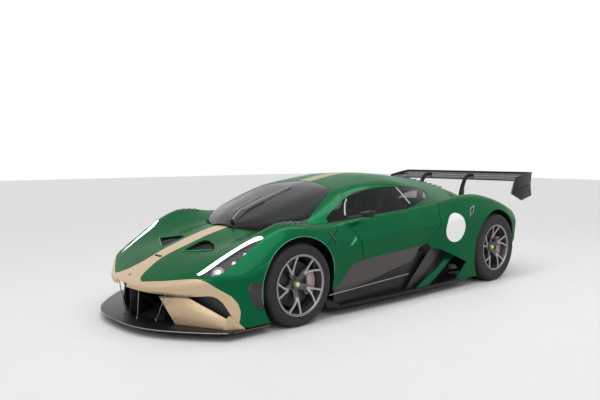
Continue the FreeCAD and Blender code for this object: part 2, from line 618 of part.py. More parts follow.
tail_core = core(BODY, [3030, 3180], S["clam_wall"] + S["seat_gap"]).common(block(-WIDE, WIDE, 3140, 3164, 0, 900))
add("tail_panel", tail_core)
lamp_bar = block(520, 800, 3164, 3176, 640, 664)
add_both("tail_lamps", lamp_bar)
roofing = side_prism([(2780, FLOOR_TOP), (3330, 290), (3330, 306), (2780, FLOOR_TOP + 16)], -600, 600)
fins = []
for x in (-500, -300, -100, 100, 300, 500):
    fins.append(side_prism([(2820, FLOOR_TOP + 6), (3330, 130), (3330, 292), (2830, FLOOR_TOP + 20)], x - 5, x + 5))
add("diffuser", roofing.multiFuse(fins).removeSplitter())
pipe = tube([at(90, 3164, 560), at(90, 3224, 560)], 48, V(0, 0, 1), 16)
pipe = pipe.cut(tube([at(90, 3170, 560), at(90, 3230, 560)], 44, V(0, 0, 1), 16))
add_both("exhausts", pipe)

# Tub, dashboard, seats and steering wheel
tub = block(-820, 820, 440, 1630, FLOOR_TOP, FLOOR_TOP + 36)
tub = tub.multiFuse([block(640, 820, 420, 1630, FLOOR_TOP, 415), block(-820, -640, 420, 1630, FLOOR_TOP, 415),
                     block(-470, 470, -300, 460, FLOOR_TOP, 560), block(-600, 600, 1596, 1630, FLOOR_TOP, 900)])
tub = tub.cut(block(-430, 430, -200, 470, FLOOR_TOP + 36, 530)).removeSplitter()
add("tub", tub)

dash = side_prism([(300, 560), (300, 640), (420, 700), (520, 690), (540, 600), (450, 560)], -560, 560)
add("dashboard", dash)
seat_profile = [(740, 190), (700, 250), (740, 265), (1180, 240), (1420, 760), (1460, 930), (1540, 940),
                (1550, 800), (1420, 400), (1300, 130), (800, 130)]
seat = side_prism(seat_profile, S["seat_x"] - S["seat_width"] / 2, S["seat_x"] + S["seat_width"] / 2)
add_both("seats", seat)

wheel_centre = at(S["seat_x"], 740, 600)
hoop = []
for k in range(16):
    angle = 2 * math.pi * k / 16
    hoop.append([V((S["wheel_rim_radius"] + 14 * math.cos(math.pi * j / 3)) * math.cos(angle),
                   (S["wheel_rim_radius"] + 14 * math.cos(math.pi * j / 3)) * math.sin(angle),
                   14 * math.sin(math.pi * j / 3)) for j in range(6)])
half_hoop = [faceted(hoop[:9]), faceted(hoop[8:] + hoop[:1])]
steering = half_hoop[0].multiFuse([half_hoop[1], Part.makeBox(300, 40, 16, V(-150, -20, -8)),
                                   Part.makeBox(90, 90, 30, V(-45, -45, -15))]).removeSplitter()
steering.rotate(V(0, 0, 0), ALONG_X, 70)
steering.translate(wheel_centre)
column = tube([wheel_centre + V(0, -10, -4), at(S["seat_x"], 530.3, 645)], 18, ALONG_X, 12)
column = column.cut(dash)
add("steering_wheel", steering.fuse(column).removeSplitter())

# Engine, gearbox and suspension arms
ENGINE_FRONT = 1640
half_engine = S["engine_width"] / 2
engine = block(-half_engine, half_engine, ENGINE_FRONT, ENGINE_FRONT + S["engine_length"], FLOOR_TOP,
               FLOOR_TOP + S["engine_height"])
gearbox = block(-180, 180, ENGINE_FRONT + S["engine_length"] - 5, 3000, 200, 480)
add("engine", engine.fuse(gearbox).removeSplitter())
for axle_name, inner_x in (("front", 470), ("rear", 180)):
    axle_y, tread, radius, width = AXLES[axle_name]
    pivot = tread + width / 2 - S["rim_depth"] - S["seat_gap"] - S["disc_width"] - 38
    inner_x = inner_x * ACROSS
    arms = []
    for rise in (-POST_HALF - S["seat_gap"] - 12, POST_HALF + S["seat_gap"] + 12):
        outline = [(inner_x, -125), (pivot + 22, -20), (pivot + 22, 20), (inner_x, 125), (inner_x, 97),
                   (pivot - 60, 0), (inner_x, -97)]
        arm = flat_face([V(x, axle_y + y, radius + rise - 12) for x, y in outline]).extrude(V(0, 0, 24))
        if axle_name == "front":
            arm = arm.cut(post(S["kingpin_radius"] + 1, 60, V(pivot, axle_y, radius + rise - 30)))
        arms.append(arm)
    add("%s_arms" % axle_name, Part.makeCompound(arms + [mirrored(arm) for arm in arms]))

# Mirrors on the doors
head = faceted([[at(905, 640, 796), at(985, 690, 808), at(985, 690, 862), at(905, 640, 842)],
                [at(915, 700, 792), at(1000, 740, 806), at(1000, 740, 868), at(915, 700, 850)]])
stalk = tube([at(850, 640, 782), at(930, 680, 812)], 9, V(0, 0, 1), 8)
add_each("mirror", head.fuse(stalk).removeSplitter().cut(door))

# Rear wing
def foil(lead, trail, thickness):
    """A wing section between two edges (station, z), arched downwards."""
    top, under = [], []
    for part, up, down in ((0.0, 0.0, 0.0), (0.1, 0.25, 0.5), (0.35, 0.25, 0.85), (0.7, 0.1, 0.6),
                           (1.0, 0.04, 0.04)):
        station = lead[0] + (trail[0] - lead[0]) * part
        z = lead[1] + (trail[1] - lead[1]) * part
        top.append((station, z + up * thickness))
        under.append((station, z - down * thickness))
    return top + under[:0:-1]


span = S["wing_half_span"] / ACROSS
main_plane = side_prism(foil((3178, 1052), (3420, 1078), 34), -span, span)
flap = side_prism(foil((3408, 1086), (3524, 1118), 16), -span, span)
add("wing_planes", Part.makeCompound([main_plane, flap]))
add_both("end_plates", side_prism([(3160, 1076), (3088, 902), (3319, 818), (3550, 865), (3522, 995),
                                   (3550, 1134), (3380, 1114)], span, span + S["plate_wall"]))
strut_x = S["wing_strut_x"]
strut = side_prism([(2940, 700), (2990, 960), (3110, 1112), (3262, 1106), (3262, 1050), (3190, 1050),
                    (3150, 1066), (3060, 940), (3070, 700)], strut_x - 5, strut_x + 5)
main_plane.translate(V(0, 0, S["seat_gap"]))
add_both("wing_struts", strut.cut(main_plane).cut(lower_body).Solids[0])

# Tow eye at the tail, and the bars of the cage round the seats
EYE_BACK = 515
eye_y, eye_z = REAR_AXLE + EYE_BACK, 385
panel_back = place(3164) + S["seat_gap"]
eye_outline = [(panel_back, -20), (eye_y - 20, -30), (eye_y + 16, -34), (eye_y + 34, -16), (eye_y + 34, 16),
               (eye_y + 16, 34), (eye_y - 20, 30), (panel_back, 20)]
eye = flat_face([V(-6, y, eye_z + z) for y, z in eye_outline]).extrude(V(12, 0, 0))
add("tow_eye", eye.cut(drum(S["eye_bore"], -7, 7, eye_y, eye_z)))

tub_floor = FLOOR_TOP + 36 + S["seat_gap"]
hoop_path = [(590, tub_floor), (590, 820), (430, 1030), (-430, 1030), (-590, 820), (-590, tub_floor)]
hoop_bar = tube([at(x, 1572, z) for x, z in hoop_path], 19, V(0, 1, 0), 8)
cross_bar = tube([at(-580, 1572, 760), at(580, 1572, 760)], 16, V(0, 1, 0), 8)
pillar_path = [(430, 1572, 1028), (430, 820, 970), (660, 480, 720), (660, 480, 415 + S["seat_gap"])]
pillar_bar = tube([at(*point) for point in pillar_path], 19, ALONG_X, 8)
cage = hoop_bar.multiFuse([cross_bar, pillar_bar, mirrored(pillar_bar)])
add("roll_cage", cage)

doc.recompute()
faults = []
for feature in NODES:
    if "Invalid" in feature.State or "Error" in feature.State:
        faults.append(feature.Label)
    elif feature.Shape.isNull() or not feature.Shape.isValid():
        faults.append(feature.Label)
if faults:
    raise RuntimeError("not sound: " + ", ".join(faults))

os.makedirs("parts", exist_ok=True)
for feature in NODES:
    feature.Shape.exportStep("parts/%s.step" % feature.Label)
    print(feature.Label, len(feature.Shape.Solids), round(feature.Shape.Volume / 1e6, 2),
          len(feature.Shape.Faces))
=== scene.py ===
import math

import bmesh
import bpy
from mathutils import Euler, Matrix, Vector
from mathutils.bvhtree import BVHTree
from mathutils.interpolate import poly_3d_calc


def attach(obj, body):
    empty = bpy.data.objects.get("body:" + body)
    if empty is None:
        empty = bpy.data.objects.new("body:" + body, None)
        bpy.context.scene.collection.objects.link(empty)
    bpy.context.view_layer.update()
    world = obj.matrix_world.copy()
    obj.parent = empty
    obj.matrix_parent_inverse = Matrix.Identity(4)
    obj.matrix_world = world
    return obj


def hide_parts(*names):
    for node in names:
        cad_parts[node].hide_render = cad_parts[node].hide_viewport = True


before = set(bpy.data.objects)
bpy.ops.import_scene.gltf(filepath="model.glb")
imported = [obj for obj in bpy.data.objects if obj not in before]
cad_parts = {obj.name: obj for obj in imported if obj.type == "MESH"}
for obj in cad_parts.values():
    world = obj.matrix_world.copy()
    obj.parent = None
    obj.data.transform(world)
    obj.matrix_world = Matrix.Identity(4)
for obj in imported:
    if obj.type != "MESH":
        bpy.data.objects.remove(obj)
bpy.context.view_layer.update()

# The tail is drawn 855 mm long behind the rear axle and built 805 mm long
FRONT_AXLE = -1.2
REAR_AXLE = 1.495
TAIL_SCALE = 805 / 855
# Tyres, and the openings of the skin over them
FRONT_TYRE, REAR_TYRE = 0.325, 0.355
FRONT_OPENING, REAR_OPENING = 0.374, 0.398

# Body sections in millimetres from the nose back: station behind the front axle, centre z,
# then x and z of valley, crest, shoulder, side crease, waist and foot.
BODY = [
    (-1030, 354, (30, 354), (56, 353), (78, 351), (88, 343), (86, 333), (78, 321)),
    (-1008, 372, (70, 371), (150, 366), (198, 358), (216, 345), (212, 330), (196, 314)),
    (-972, 391, (110, 389), (240, 379), (300, 366), (320, 346), (310, 326), (288, 306)),
    (-925, 412, (160, 408), (325, 396), (398, 382), (418, 355), (404, 322), (372, 300)),
    (-872, 438, (200, 433), (410, 417), (500, 399), (518, 366), (500, 320), (468, 298)),
    (-818, 465, (245, 458), (500, 440), (598, 419), (617, 378), (598, 316), (570, 297)),
    (-755, 497, (290, 488), (575, 468), (698, 442), (716, 394), (700, 345), (684, 308)),
    (-690, 527, (325, 515), (625, 498), (765, 466), (790, 418), (780, 360), (770, 312)),
    (-640, 548, (350, 534), (655, 525), (795, 492), (828, 428), (824, 340), (815, 265)),
    (-580, 570, (370, 554), (700, 560), (815, 525), (868, 432), (868, 250), (857, 150)),
    (-500, 598, (390, 580), (735, 605), (828, 565), (905, 455), (905, 190), (890, 80)),
    (-400, 632, (410, 612), (758, 662), (855, 612), (928, 490), (925, 180), (910, 80)),
    (-270, 672, (440, 650), (772, 733), (876, 680), (944, 550), (935, 180), (918, 80)),
    (-100, 712, (460, 688), (766, 797), (886, 752), (952, 625), (940, 180), (920, 80)),
    (50, 732, (480, 706), (762, 800), (888, 760), (952, 635), (940, 200), (915, 80)),
    (250, 746, (540, 732), (788, 772), (886, 742), (944, 628), (922, 290), (885, 80)),
    (450, 753, (600, 742), (815, 772), (884, 738), (938, 620), (895, 390), (870, 80)),
    (750, 760, (620, 748), (824, 795), (880, 765), (932, 603), (885, 438), (860, 80)),
    (1200, 768, (620, 755), (828, 822), (878, 785), (931, 628), (886, 468), (850, 80)),
    (1540, 780, (610, 765), (826, 838), (902, 735), (931, 652), (889, 490), (850, 80)),
    (1700, 790, (606, 775), (820, 850), (896, 768), (936, 664), (900, 480), (850, 80)),
    (1850, 805, (600, 788), (812, 868), (884, 804), (946, 690), (918, 430), (870, 80)),
    (2050, 824, (590, 806), (803, 897), (880, 868), (956, 705), (940, 330), (895, 80)),
    (2200, 838, (580, 822), (798, 915), (888, 884), (960, 712), (945, 300), (905, 80)),
    (2450, 848, (570, 832), (792, 919), (896, 882), (965, 716), (950, 290), (912, 90)),
    (2700, 835, (570, 815), (788, 882), (894, 840), (962, 700), (945, 290), (908, 100)),
    (2950, 800, (570, 778), (785, 822), (885, 780), (945, 655), (925, 330), (880, 200)),
    (3180, 760, (560, 735), (760, 750), (850, 710), (900, 605), (880, 380), (840, 330)),
]

# Cabin sections: station, centre z, then x and z of crown, rail and belt.
CABIN = [
    (-145, 706, (20, 705), (40, 702), (55, 690)),
    (0, 780, (210, 768), (385, 728), (440, 690)),
    (150, 848, (300, 824), (545, 772), (640, 700)),
    (290, 902, (340, 878), (665, 806), (770, 730)),
    (500, 978, (350, 958), (640, 905), (826, 770)),
    (700, 1042, (350, 1026), (585, 990), (836, 780)),
    (875, 1083, (350, 1066), (590, 1026), (838, 790)),
    (1050, 1115, (350, 1098), (600, 1048), (838, 800)),
    (1250, 1143, (350, 1124), (602, 1060), (836, 812)),
    (1450, 1147, (350, 1128), (598, 1056), (832, 822)),
    (1650, 1136, (345, 1114), (582, 1032), (822, 836)),
    (1950, 1098, (335, 1076), (545, 985), (750, 862)),
    (2250, 1046, (325, 1026), (505, 945), (680, 850)),
    (2550, 985, (315, 966), (470, 895), (600, 820)),
    (2800, 925, (300, 906), (440, 846), (540, 780)),
]
SIDE_VIEW, PLAN, FRONT_VIEW = (1, 2), (0, 1), (0, 2)


# Shaders
class Value:
    """A socket of a shader; the usual operators add Math nodes."""

    def __init__(self, shader, socket):
        self.shader = shader
        self.socket = socket

    def __add__(self, other):
        return self.shader.math("ADD", self, other)

    def __sub__(self, other):
        return self.shader.math("SUBTRACT", self, other)

    def __mul__(self, other):
        return self.shader.math("MULTIPLY", self, other)

    def __lt__(self, other):
        return self.shader.math("LESS_THAN", self, other)

    def __gt__(self, other):
        return self.shader.math("GREATER_THAN", self, other)

    def __abs__(self):
        return self.shader.math("ABSOLUTE", self)


class Shader:
    """The nodes of a material or of the world, made one by one."""

    def __init__(self, owner):
        owner.use_nodes = True
        self.owner = owner
        self.tree = owner.node_tree
        self.tree.nodes.clear()

    def node(self, kind, settings=None, inputs=None, output=0):
        made = self.tree.nodes.new(kind)
        for key, value in (settings or {}).items():
            setattr(made, key, value)
        for key, value in (inputs or {}).items():
            if isinstance(value, Value):
                self.tree.links.new(value.socket, made.inputs[key])
            else:
                made.inputs[key].default_value = value
        return Value(self, made.outputs[output]) if made.outputs else None

    def math(self, operation, first, second=None):
        inputs = {0: first} if second is None else {0: first, 1: second}
        return self.node("ShaderNodeMath", {"operation": operation}, inputs)

    def place(self):
        return self.node("ShaderNodeTexCoord", output="Object")

    def axes(self):
        split = self.node("ShaderNodeSeparateXYZ", {}, {0: self.place()})
        return [Value(self, socket) for socket in split.socket.node.outputs]

    def noise(self, scale, detail=3.0):
        return self.node("ShaderNodeTexNoise", {}, {"Vector": self.place(), "Scale": scale, "Detail": detail})

    def blend(self, factor, first, second):
        return self.node("ShaderNodeMix", {"data_type": "RGBA"}, {0: factor, 6: first, 7: second}, 2)

    def bump(self, height, strength, distance=0.001):
        return self.node("ShaderNodeBump", {}, {"Height": height, "Strength": strength, "Distance": distance})

    def surface(self, **inputs):
        skin = self.node("ShaderNodeBsdfPrincipled", {}, {k.replace("_", " "): v for k, v in inputs.items()})
        self.node("ShaderNodeOutputMaterial", {}, {"Surface": skin})
        return self.owner


def rgb(red, green, blue):
    return (red, green, blue, 1.0)


def finish(name, colour, rough, metal=0.0, coat=0.0, grain=60.0, change=0.12, relief=0.05, **more):
    """A plain finish whose colour and roughness change a little from place to place."""
    shader = Shader(bpy.data.materials.new(name))
    cloud = shader.noise(grain)
    darker = rgb(*[c * (1 - change) for c in colour[:3]])
    lighter = rgb(*[min(1.0, c * (1 + change)) for c in colour[:3]])
    normal = shader.bump(cloud, relief)
    return shader.surface(Base_Color=shader.blend(cloud, darker, lighter), Roughness=cloud * 0.1 + (rough - 0.05),
                          Metallic=metal, Coat_Weight=coat, Coat_Roughness=0.04, Normal=normal, **more)


def paint(name, colour, bright, metal, edge, stripes=False):
    """Metallic paint under lacquer, with a gold stripe along the middle where asked."""
    shader = Shader(bpy.data.materials.new(name))
    flakes = shader.noise(900.0, 1.0)
    cloud = shader.noise(2.0)
    tone = shader.blend(flakes * 0.7 + cloud * 0.3, rgb(*colour), rgb(*bright))
    if stripes:
        gold = shader.blend(flakes, rgb(*GOLD), rgb(*GOLD_BRIGHT))
        tone = shader.blend(abs(shader.axes()[0]) < STRIPE_HALF, tone, gold)
    peel = shader.noise(45.0, 1.0)
    return shader.surface(Base_Color=tone, Metallic=metal, Roughness=flakes * 0.06 + 0.3, Specular_IOR_Level=0.1,
                          Specular_Tint=edge, Coat_Weight=0.14, Coat_Roughness=0.03, Normal=shader.bump(peel, 0.04))


def weave(name):
    """Lacquered carbon cloth in a twill."""
    shader = Shader(bpy.data.materials.new(name))
    x, y, z = shader.axes()
    across = shader.math("SINE", (x + y + z) * 900.0)
    along = shader.math("SINE", (x - y + z) * 900.0)
    cloth = across * along * 0.5 + 0.5
    tone = shader.blend(cloth, rgb(0.003, 0.003, 0.0035), rgb(0.011, 0.011, 0.012))
    return shader.surface(Base_Color=tone, Metallic=0.0, Roughness=cloth * 0.12 + 0.30, Coat_Weight=0.1,
                          Specular_IOR_Level=0.2, Coat_Roughness=0.08, Normal=shader.bump(cloth, 0.1, 0.0004))


def mesh_wire(name, size):
    """Black honeycomb wire with holes."""
    shader = Shader(bpy.data.materials.new(name))
    cells = shader.node("ShaderNodeTexVoronoi", {"feature": "DISTANCE_TO_EDGE"},
                        {"Vector": shader.place(), "Scale": 1 / size, "Randomness": 0.15})
    wire = cells < 0.11
    tone = shader.blend(wire, rgb(0.002, 0.002, 0.002), rgb(0.06, 0.06, 0.062))
    return shader.surface(Base_Color=tone, Roughness=0.5, Normal=shader.bump(wire, 0.6, 0.002))


def glazing(name, tint, alpha, band=None):
    """Tinted glass; above the height of a band it is nearly black."""
    shader = Shader(bpy.data.materials.new(name))
    cloud = shader.noise(30.0)
    opaque = alpha if band is None else (shader.axes()[2] > band) * (0.97 - alpha) + alpha
    tone = shader.blend(cloud, rgb(*tint), rgb(*[c * 1.2 for c in tint]))
    return shader.surface(Base_Color=tone, Alpha=opaque, Roughness=cloud * 0.02 + 0.02, Specular_IOR_Level=0.15,
                          Coat_Weight=0.1, Coat_Roughness=0.02)


STRIPE_HALF = 0.088
GREEN, GREEN_BRIGHT, GREEN_EDGE = (0.0, 0.055, 0.02), (0.0, 0.15, 0.055), rgb(0.05, 0.45, 0.2)
GOLD, GOLD_BRIGHT = (0.50, 0.36, 0.22), (0.68, 0.52, 0.35)
M = {
    "green": paint("green_paint", GREEN, GREEN_BRIGHT, 0.5, GREEN_EDGE),
    "green_striped": paint("green_paint_striped", GREEN, GREEN_BRIGHT, 0.5, GREEN_EDGE, True),
    "gold": paint("gold_paint", GOLD, GOLD_BRIGHT, 0.55, rgb(1, 1, 1)),
    "carbon": weave("carbon_cloth"),
    # Lighter carbon on the side panel above its lower line is painted light; the darker carbon cloth below that
    # line is painted shade
    "panel": finish("carbon_painted_lit", (0.030, 0.023, 0.018), 0.42, coat=0.25, grain=90.0),
    "mesh": mesh_wire("honeycomb_mesh", 0.012),
    "black": finish("satin_black", (0.012, 0.012, 0.013), 0.45),
    "deep": finish("matt_black", (0.003, 0.003, 0.003), 0.8),
    "rubber": finish("tyre_rubber", (0.018, 0.018, 0.019), 0.6, grain=300.0, relief=0.12, Specular_IOR_Level=0.25),
    "rim": finish("rim_graphite", (0.070, 0.068, 0.074), 0.38, metal=0.6, coat=0.3, grain=200.0),
    "rim_cut": finish("rim_machined", (0.38, 0.37, 0.39), 0.32, metal=0.7, grain=400.0),
    "nut": finish("nut_gold", (0.66, 0.60, 0.24), 0.35, metal=0.4),
    "disc": finish("disc_carbon", (0.035, 0.034, 0.034), 0.5, metal=0.3, grain=200.0),
    "caliper": finish("caliper_rose", (0.50, 0.33, 0.33), 0.35, coat=0.5),
    "steel": finish("bare_steel", (0.55, 0.54, 0.52), 0.3, metal=1.0, grain=150.0),
    "chrome": finish("bright_trim", (0.8, 0.8, 0.82), 0.12, metal=1.0),
    "alloy": finish("cast_alloy", (0.33, 0.33, 0.34), 0.5, metal=0.8),
    "trim": finish("cabin_trim", (0.045, 0.045, 0.048), 0.75, grain=400.0, relief=0.2),
    "cloth": finish("seat_cloth", (0.016, 0.05, 0.032), 0.85, grain=600.0, relief=0.3),
    "seat_green": finish("seat_green", (0.02, 0.42, 0.18), 0.6, grain=300.0),
    "glass": glazing("dark_glass", (0.003, 0.004, 0.005), 0.5),
    "screen": glazing("screen_glass", (0.003, 0.004, 0.007), 0.82, 1.03),
    "lens": glazing("lamp_lens", (0.5, 0.52, 0.55), 0.05),
    "white": finish("white_disc", (0.85, 0.85, 0.84), 0.4, coat=0.5, change=0.02),
    "glow": finish("daylight_strip", (0.9, 0.93, 1.0), 0.3, Emission_Color=(0.9, 0.95, 1.0, 1),
                   Emission_Strength=2.5),
    "red": finish("red_lamp", (0.5, 0.01, 0.01), 0.2, coat=1.0),
    "copper": finish("copper_edge", (0.17, 0.055, 0.035), 0.4, metal=0.4),
    # Lighter green that paints highlights: along the front arch edge, the fender slit and the bonnet vent lips, and
    # as a patch on the fender
    "highlight_paint": finish("painted_highlight_green", (0.03, 0.30, 0.14), 0.4, coat=0.3),
}


def yy(station):
    """Y of a station in millimetres behind the front axle."""
    past = max(station - 1000 * (REAR_AXLE - FRONT_AXLE), 0)
    return FRONT_AXLE + (station - past + past * TAIL_SCALE) / 1000


def pt(x, station, z):
    return Vector((x / 1000, yy(station), z / 1000))


def pts(*triples):
    return [pt(*triple) for triple in triples]


# Surfaces
def row_at(rows, station):
    last = len(rows) - 1
    k = 0
    while k < last - 1 and rows[k + 1][0] <= station:
        k += 1
    four = []
    for row in (rows[max(k - 1, 0)], rows[k], rows[k + 1], rows[min(k + 2, last)]):
        four.append([row[0], row[1]] + [item for pair in row[2:] for item in pair])
    before, here, there, after = four
    span = there[0] - here[0]
    t = min(max((station - here[0]) / span, 0.0), 1.0)
    result = []
    for i in range(1, len(here)):
        slope_here = (there[i] - before[i]) / (there[0] - before[0]) * span
        slope_there = (after[i] - here[i]) / (after[0] - here[0]) * span
        result.append((2 * t ** 3 - 3 * t ** 2 + 1) * here[i] + (t ** 3 - 2 * t ** 2 + t) * slope_here
                      + (3 * t ** 2 - 2 * t ** 3) * there[i] + (t ** 3 - t ** 2) * slope_there)
    return result


def controls(rows, station, bulge=0.07):
    row = row_at(rows, station)
    left = [(row[i] / 1000, row[i + 1] / 1000) for i in range(1, len(row), 2)]
    corners = left[::-1] + [(0.0, row[0] / 1000)] + [(-x, z) for x, z in left]
    points = [corners[0]]
    last = len(corners) - 1
    for k in range(1, last + 1):
        (x0, z0), (x1, z1) = corners[k - 1], corners[k]
        if 1 < k < last:
            (xa, za), (xb, zb) = corners[k - 2], corners[k + 1]
            points.append(((x0 + x1) / 2 + bulge * (x0 + x1 - xa - xb) / 2,
                           (z0 + z1) / 2 + bulge * (z0 + z1 - za - zb) / 2))
        points.append((x1, z1))
    return points


def smooth(points, each, closed=False):
    """More points along a rounded curve through the given ones."""
    count = len(points)
    result = []
    runs = count if closed else count - 1
    for k in range(runs):
        quad = []
        for i in (k - 1, k, k + 1, k + 2):
            quad.append(Vector(points[i % count] if closed else points[min(max(i, 0), count - 1)]))
        p0, p1, p2, p3 = quad
        gaps = [max((b - a).length, 1e-6) ** 0.5 for a, b in ((p0, p1), (p1, p2), (p2, p3))]
        m1 = (p1 - p0) / gaps[0] - (p2 - p0) / (gaps[0] + gaps[1]) + (p2 - p1) / gaps[1]
        m2 = (p2 - p1) / gaps[1] - (p3 - p1) / (gaps[1] + gaps[2]) + (p3 - p2) / gaps[2]
        if (p1 - p0).length < 1e-6:
            m1 = (p2 - p1) / gaps[1]
        if (p3 - p2).length < 1e-6:
            m2 = (p2 - p1) / gaps[1]
        m1, m2 = m1 * gaps[1], m2 * gaps[1]
        for j in range(each):
            t = j / each
            result.append(p1 * (2 * t ** 3 - 3 * t ** 2 + 1) + m1 * (t ** 3 - 2 * t ** 2 + t)
                          + p2 * (3 * t ** 2 - 2 * t ** 3) + m2 * (t ** 3 - t ** 2))
    if not closed:
        result.append(Vector(points[-1]))
    return result


def half_section(rows, station, each):
    """Points from the left foot to the middle of the car."""
    points = controls(rows, station)
    middle = len(points) // 2
    dense = smooth(points[:middle + 3], each)
    half = dense[:middle * each + 1]
    half[-1] = Vector((0.0, half[-1][1]))
    return [Vector((p[0], yy(station), p[1])) for p in half]


def span(start, end, step):
    count = max(1, round((end - start) / step))
    return [start + (end - start) * k / count for k in range(count + 1)]


def half_skin(rows, start, end, step, each):
    bm = bmesh.new()
    columns = []
    for station in span(start, end, step):
        columns.append([bm.verts.new(p) for p in half_section(rows, station, each)])
    for near, far in zip(columns, columns[1:]):
        for j in range(len(near) - 1):
            bm.faces.new((near[j], far[j], far[j + 1], near[j + 1]))
    bm.normal_update()
    return bm


class Guide:
    """The whole smooth surface, asked for its normal near a point."""

    def __init__(self, half):
        full = half.copy()
        mirror_into(full)
        self.mesh = bpy.data.meshes.new("guide")
        full.to_mesh(self.mesh)
        self.tree = BVHTree.FromBMesh(full)
        full.free()

    def normal(self, point):
        place, face_normal, index = self.tree.find_nearest(point)[:3]
        corners = [self.mesh.vertices[i] for i in self.mesh.polygons[index].vertices]
        weights = poly_3d_calc([v.co for v in corners], place)
        total = Vector((0, 0, 0))
        for corner, weight in zip(corners, weights):
            total += corner.normal * weight
        return total.normalized() if total.length > 0 else face_normal


def mirror_into(bm):
    """Adds the right half and joins it along the middle."""
    made = bmesh.ops.duplicate(bm, geom=bm.verts[:] + bm.edges[:] + bm.faces[:])
    for item in made["geom"]:
        if isinstance(item, bmesh.types.BMVert):
            item.co.x = -item.co.x
    bmesh.ops.reverse_faces(bm, faces=[f for f in made["geom"] if isinstance(f, bmesh.types.BMFace)])
    middle = [v for v in bm.verts if abs(v.co.x) < 1e-5]
    bmesh.ops.remove_doubles(bm, verts=middle, dist=1e-4)
    bm.normal_update()


def within(point, outline):
    inside = False
    x, y = point
    for (x0, y0), (x1, y1) in zip(outline, outline[1:] + outline[:1]):
        if (y0 > y) != (y1 > y) and x < (x1 - x0) * (y - y0) / (y1 - y0) + x0:
            inside = not inside
    return inside


def flat(point, view):
    return point[view[0]], point[view[1]]


def boxes_meet(face, view, low, high):
    for i in (0, 1):
        values = [v.co[view[i]] for v in face.verts]
        if max(values) < low[i] or min(values) > high[i]:
            return False
    return True


def scribe(bm, outline, view):
    """Edges on the skin along a closed outline that is seen from one side."""
    low = [min(p[i] for p in outline) for i in (0, 1)]
    high = [max(p[i] for p in outline) for i in (0, 1)]
    near = set(f for f in bm.faces if boxes_meet(f, view, low, high))
    for p, q in zip(outline, outline[1:] + outline[:1]):
        low = [min(p[i], q[i]) - 1e-5 for i in (0, 1)]
        high = [max(p[i], q[i]) + 1e-5 for i in (0, 1)]
        picked = [f for f in near if f.is_valid and boxes_meet(f, view, low, high)]
        run = Vector((q[0] - p[0], q[1] - p[1]))
        if not picked or run.length < 1e-7:
            continue
        co, no = Vector((0, 0, 0)), Vector((0, 0, 0))
        co[view[0]], co[view[1]] = p
        no[view[0]], no[view[1]] = -run[1], run[0]
        geometry = set(picked)
        for face in picked:
            geometry.update(face.edges)
            geometry.update(face.verts)
        made = bmesh.ops.bisect_plane(bm, geom=list(geometry), dist=2e-5, plane_co=co, plane_no=no)
        near.update(f for f in made["geom"] if isinstance(f, bmesh.types.BMFace))
        near = set(f for f in near if f.is_valid)


def arc_outline(y, z, radius, count=72):
    return [(y + radius * math.cos(2 * math.pi * k / count), z + radius * math.sin(2 * math.pi * k / count))
            for k in range(count)]


def by_station(points):
    """Outline points (station, z) in millimetres as (y, z) in metres."""
    return [(yy(s), z / 1000) for s, z in points]


def in_plan(points):
    """Outline points (x, station) in millimetres as (x, y) in metres."""
    return [(x / 1000, yy(s)) for x, s in points]


def new_object(name, mesh):
    obj = bpy.data.objects.new(name, mesh)
    bpy.context.scene.collection.objects.link(obj)
    return obj


def shown(obj, body, node):
    """A visible piece that rides on a body, and takes the place of a node if one is named."""
    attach(obj, body)
    if node:
        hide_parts(node)
    return obj


def shell(name, bm, keep, guide, wall, gap, both, materials=("green",), tint=None, lift=0.0):
    """A panel of the skin with thickness; its free edges draw back by the gap."""
    part = bm.copy()
    kept = set(f.index for f in keep)
    part.faces.ensure_lookup_table()
    bmesh.ops.delete(part, geom=[f for f in part.faces if f.index not in kept], context="FACES")
    if tint:
        for face in part.faces:
            face.material_index = tint(face.calc_center_median())
    if both:
        mirror_into(part)
    part.verts.ensure_lookup_table()
    free_edges = [edge for edge in part.edges if len(edge.link_faces) == 1]
    moves = {}
    for edge in free_edges:
        face = edge.link_faces[0]
        side = face.normal.cross(edge.verts[1].co - edge.verts[0].co)
        if side.length < 1e-12:
            continue
        side.normalize()
        if side.dot(face.calc_center_median() - edge.verts[0].co) < 0:
            side = -side
        for vert in edge.verts:
            moves[vert.index] = moves.get(vert.index, Vector((0, 0, 0))) + side
    for index, side in moves.items():
        if side.length > 1e-9:
            part.verts[index].co += side.normalized() * gap
    normals = [guide.normal(v.co) for v in part.verts]
    coords = [v.co + n * lift for v, n in zip(part.verts, normals)]
    inner = [c - n * wall for c, n in zip(coords, normals)]
    count = len(coords)
    faces, tones, loops = [], [], []
    for face in part.faces:
        ring = [v.index for v in face.verts]
        faces += [ring, [i + count for i in reversed(ring)]]
        tones += [face.material_index] * 2
        loops += [normals[i] for i in ring] + [-normals[i] for i in reversed(ring)]
    for edge in free_edges:
        loop = edge.link_loops[0]
        a, b = loop.vert.index, loop.link_loop_next.vert.index
        normal = (coords[a] - coords[b]).cross(inner[a] - coords[a])
        faces.append([b, a, a + count, b + count])
        tones.append(edge.link_faces[0].material_index)
        loops += [normal.normalized() if normal.length > 1e-12 else normals[a]] * 4
    part.free()
    mesh = bpy.data.meshes.new(name)
    mesh.from_pydata(coords + inner, [], faces)
    for polygon, tone in zip(mesh.polygons, tones):
        polygon.material_index = tone
        polygon.use_smooth = True
    mesh.normals_split_custom_set(loops)
    for material in materials:
        mesh.materials.append(M[material])
    return new_object(name, mesh)


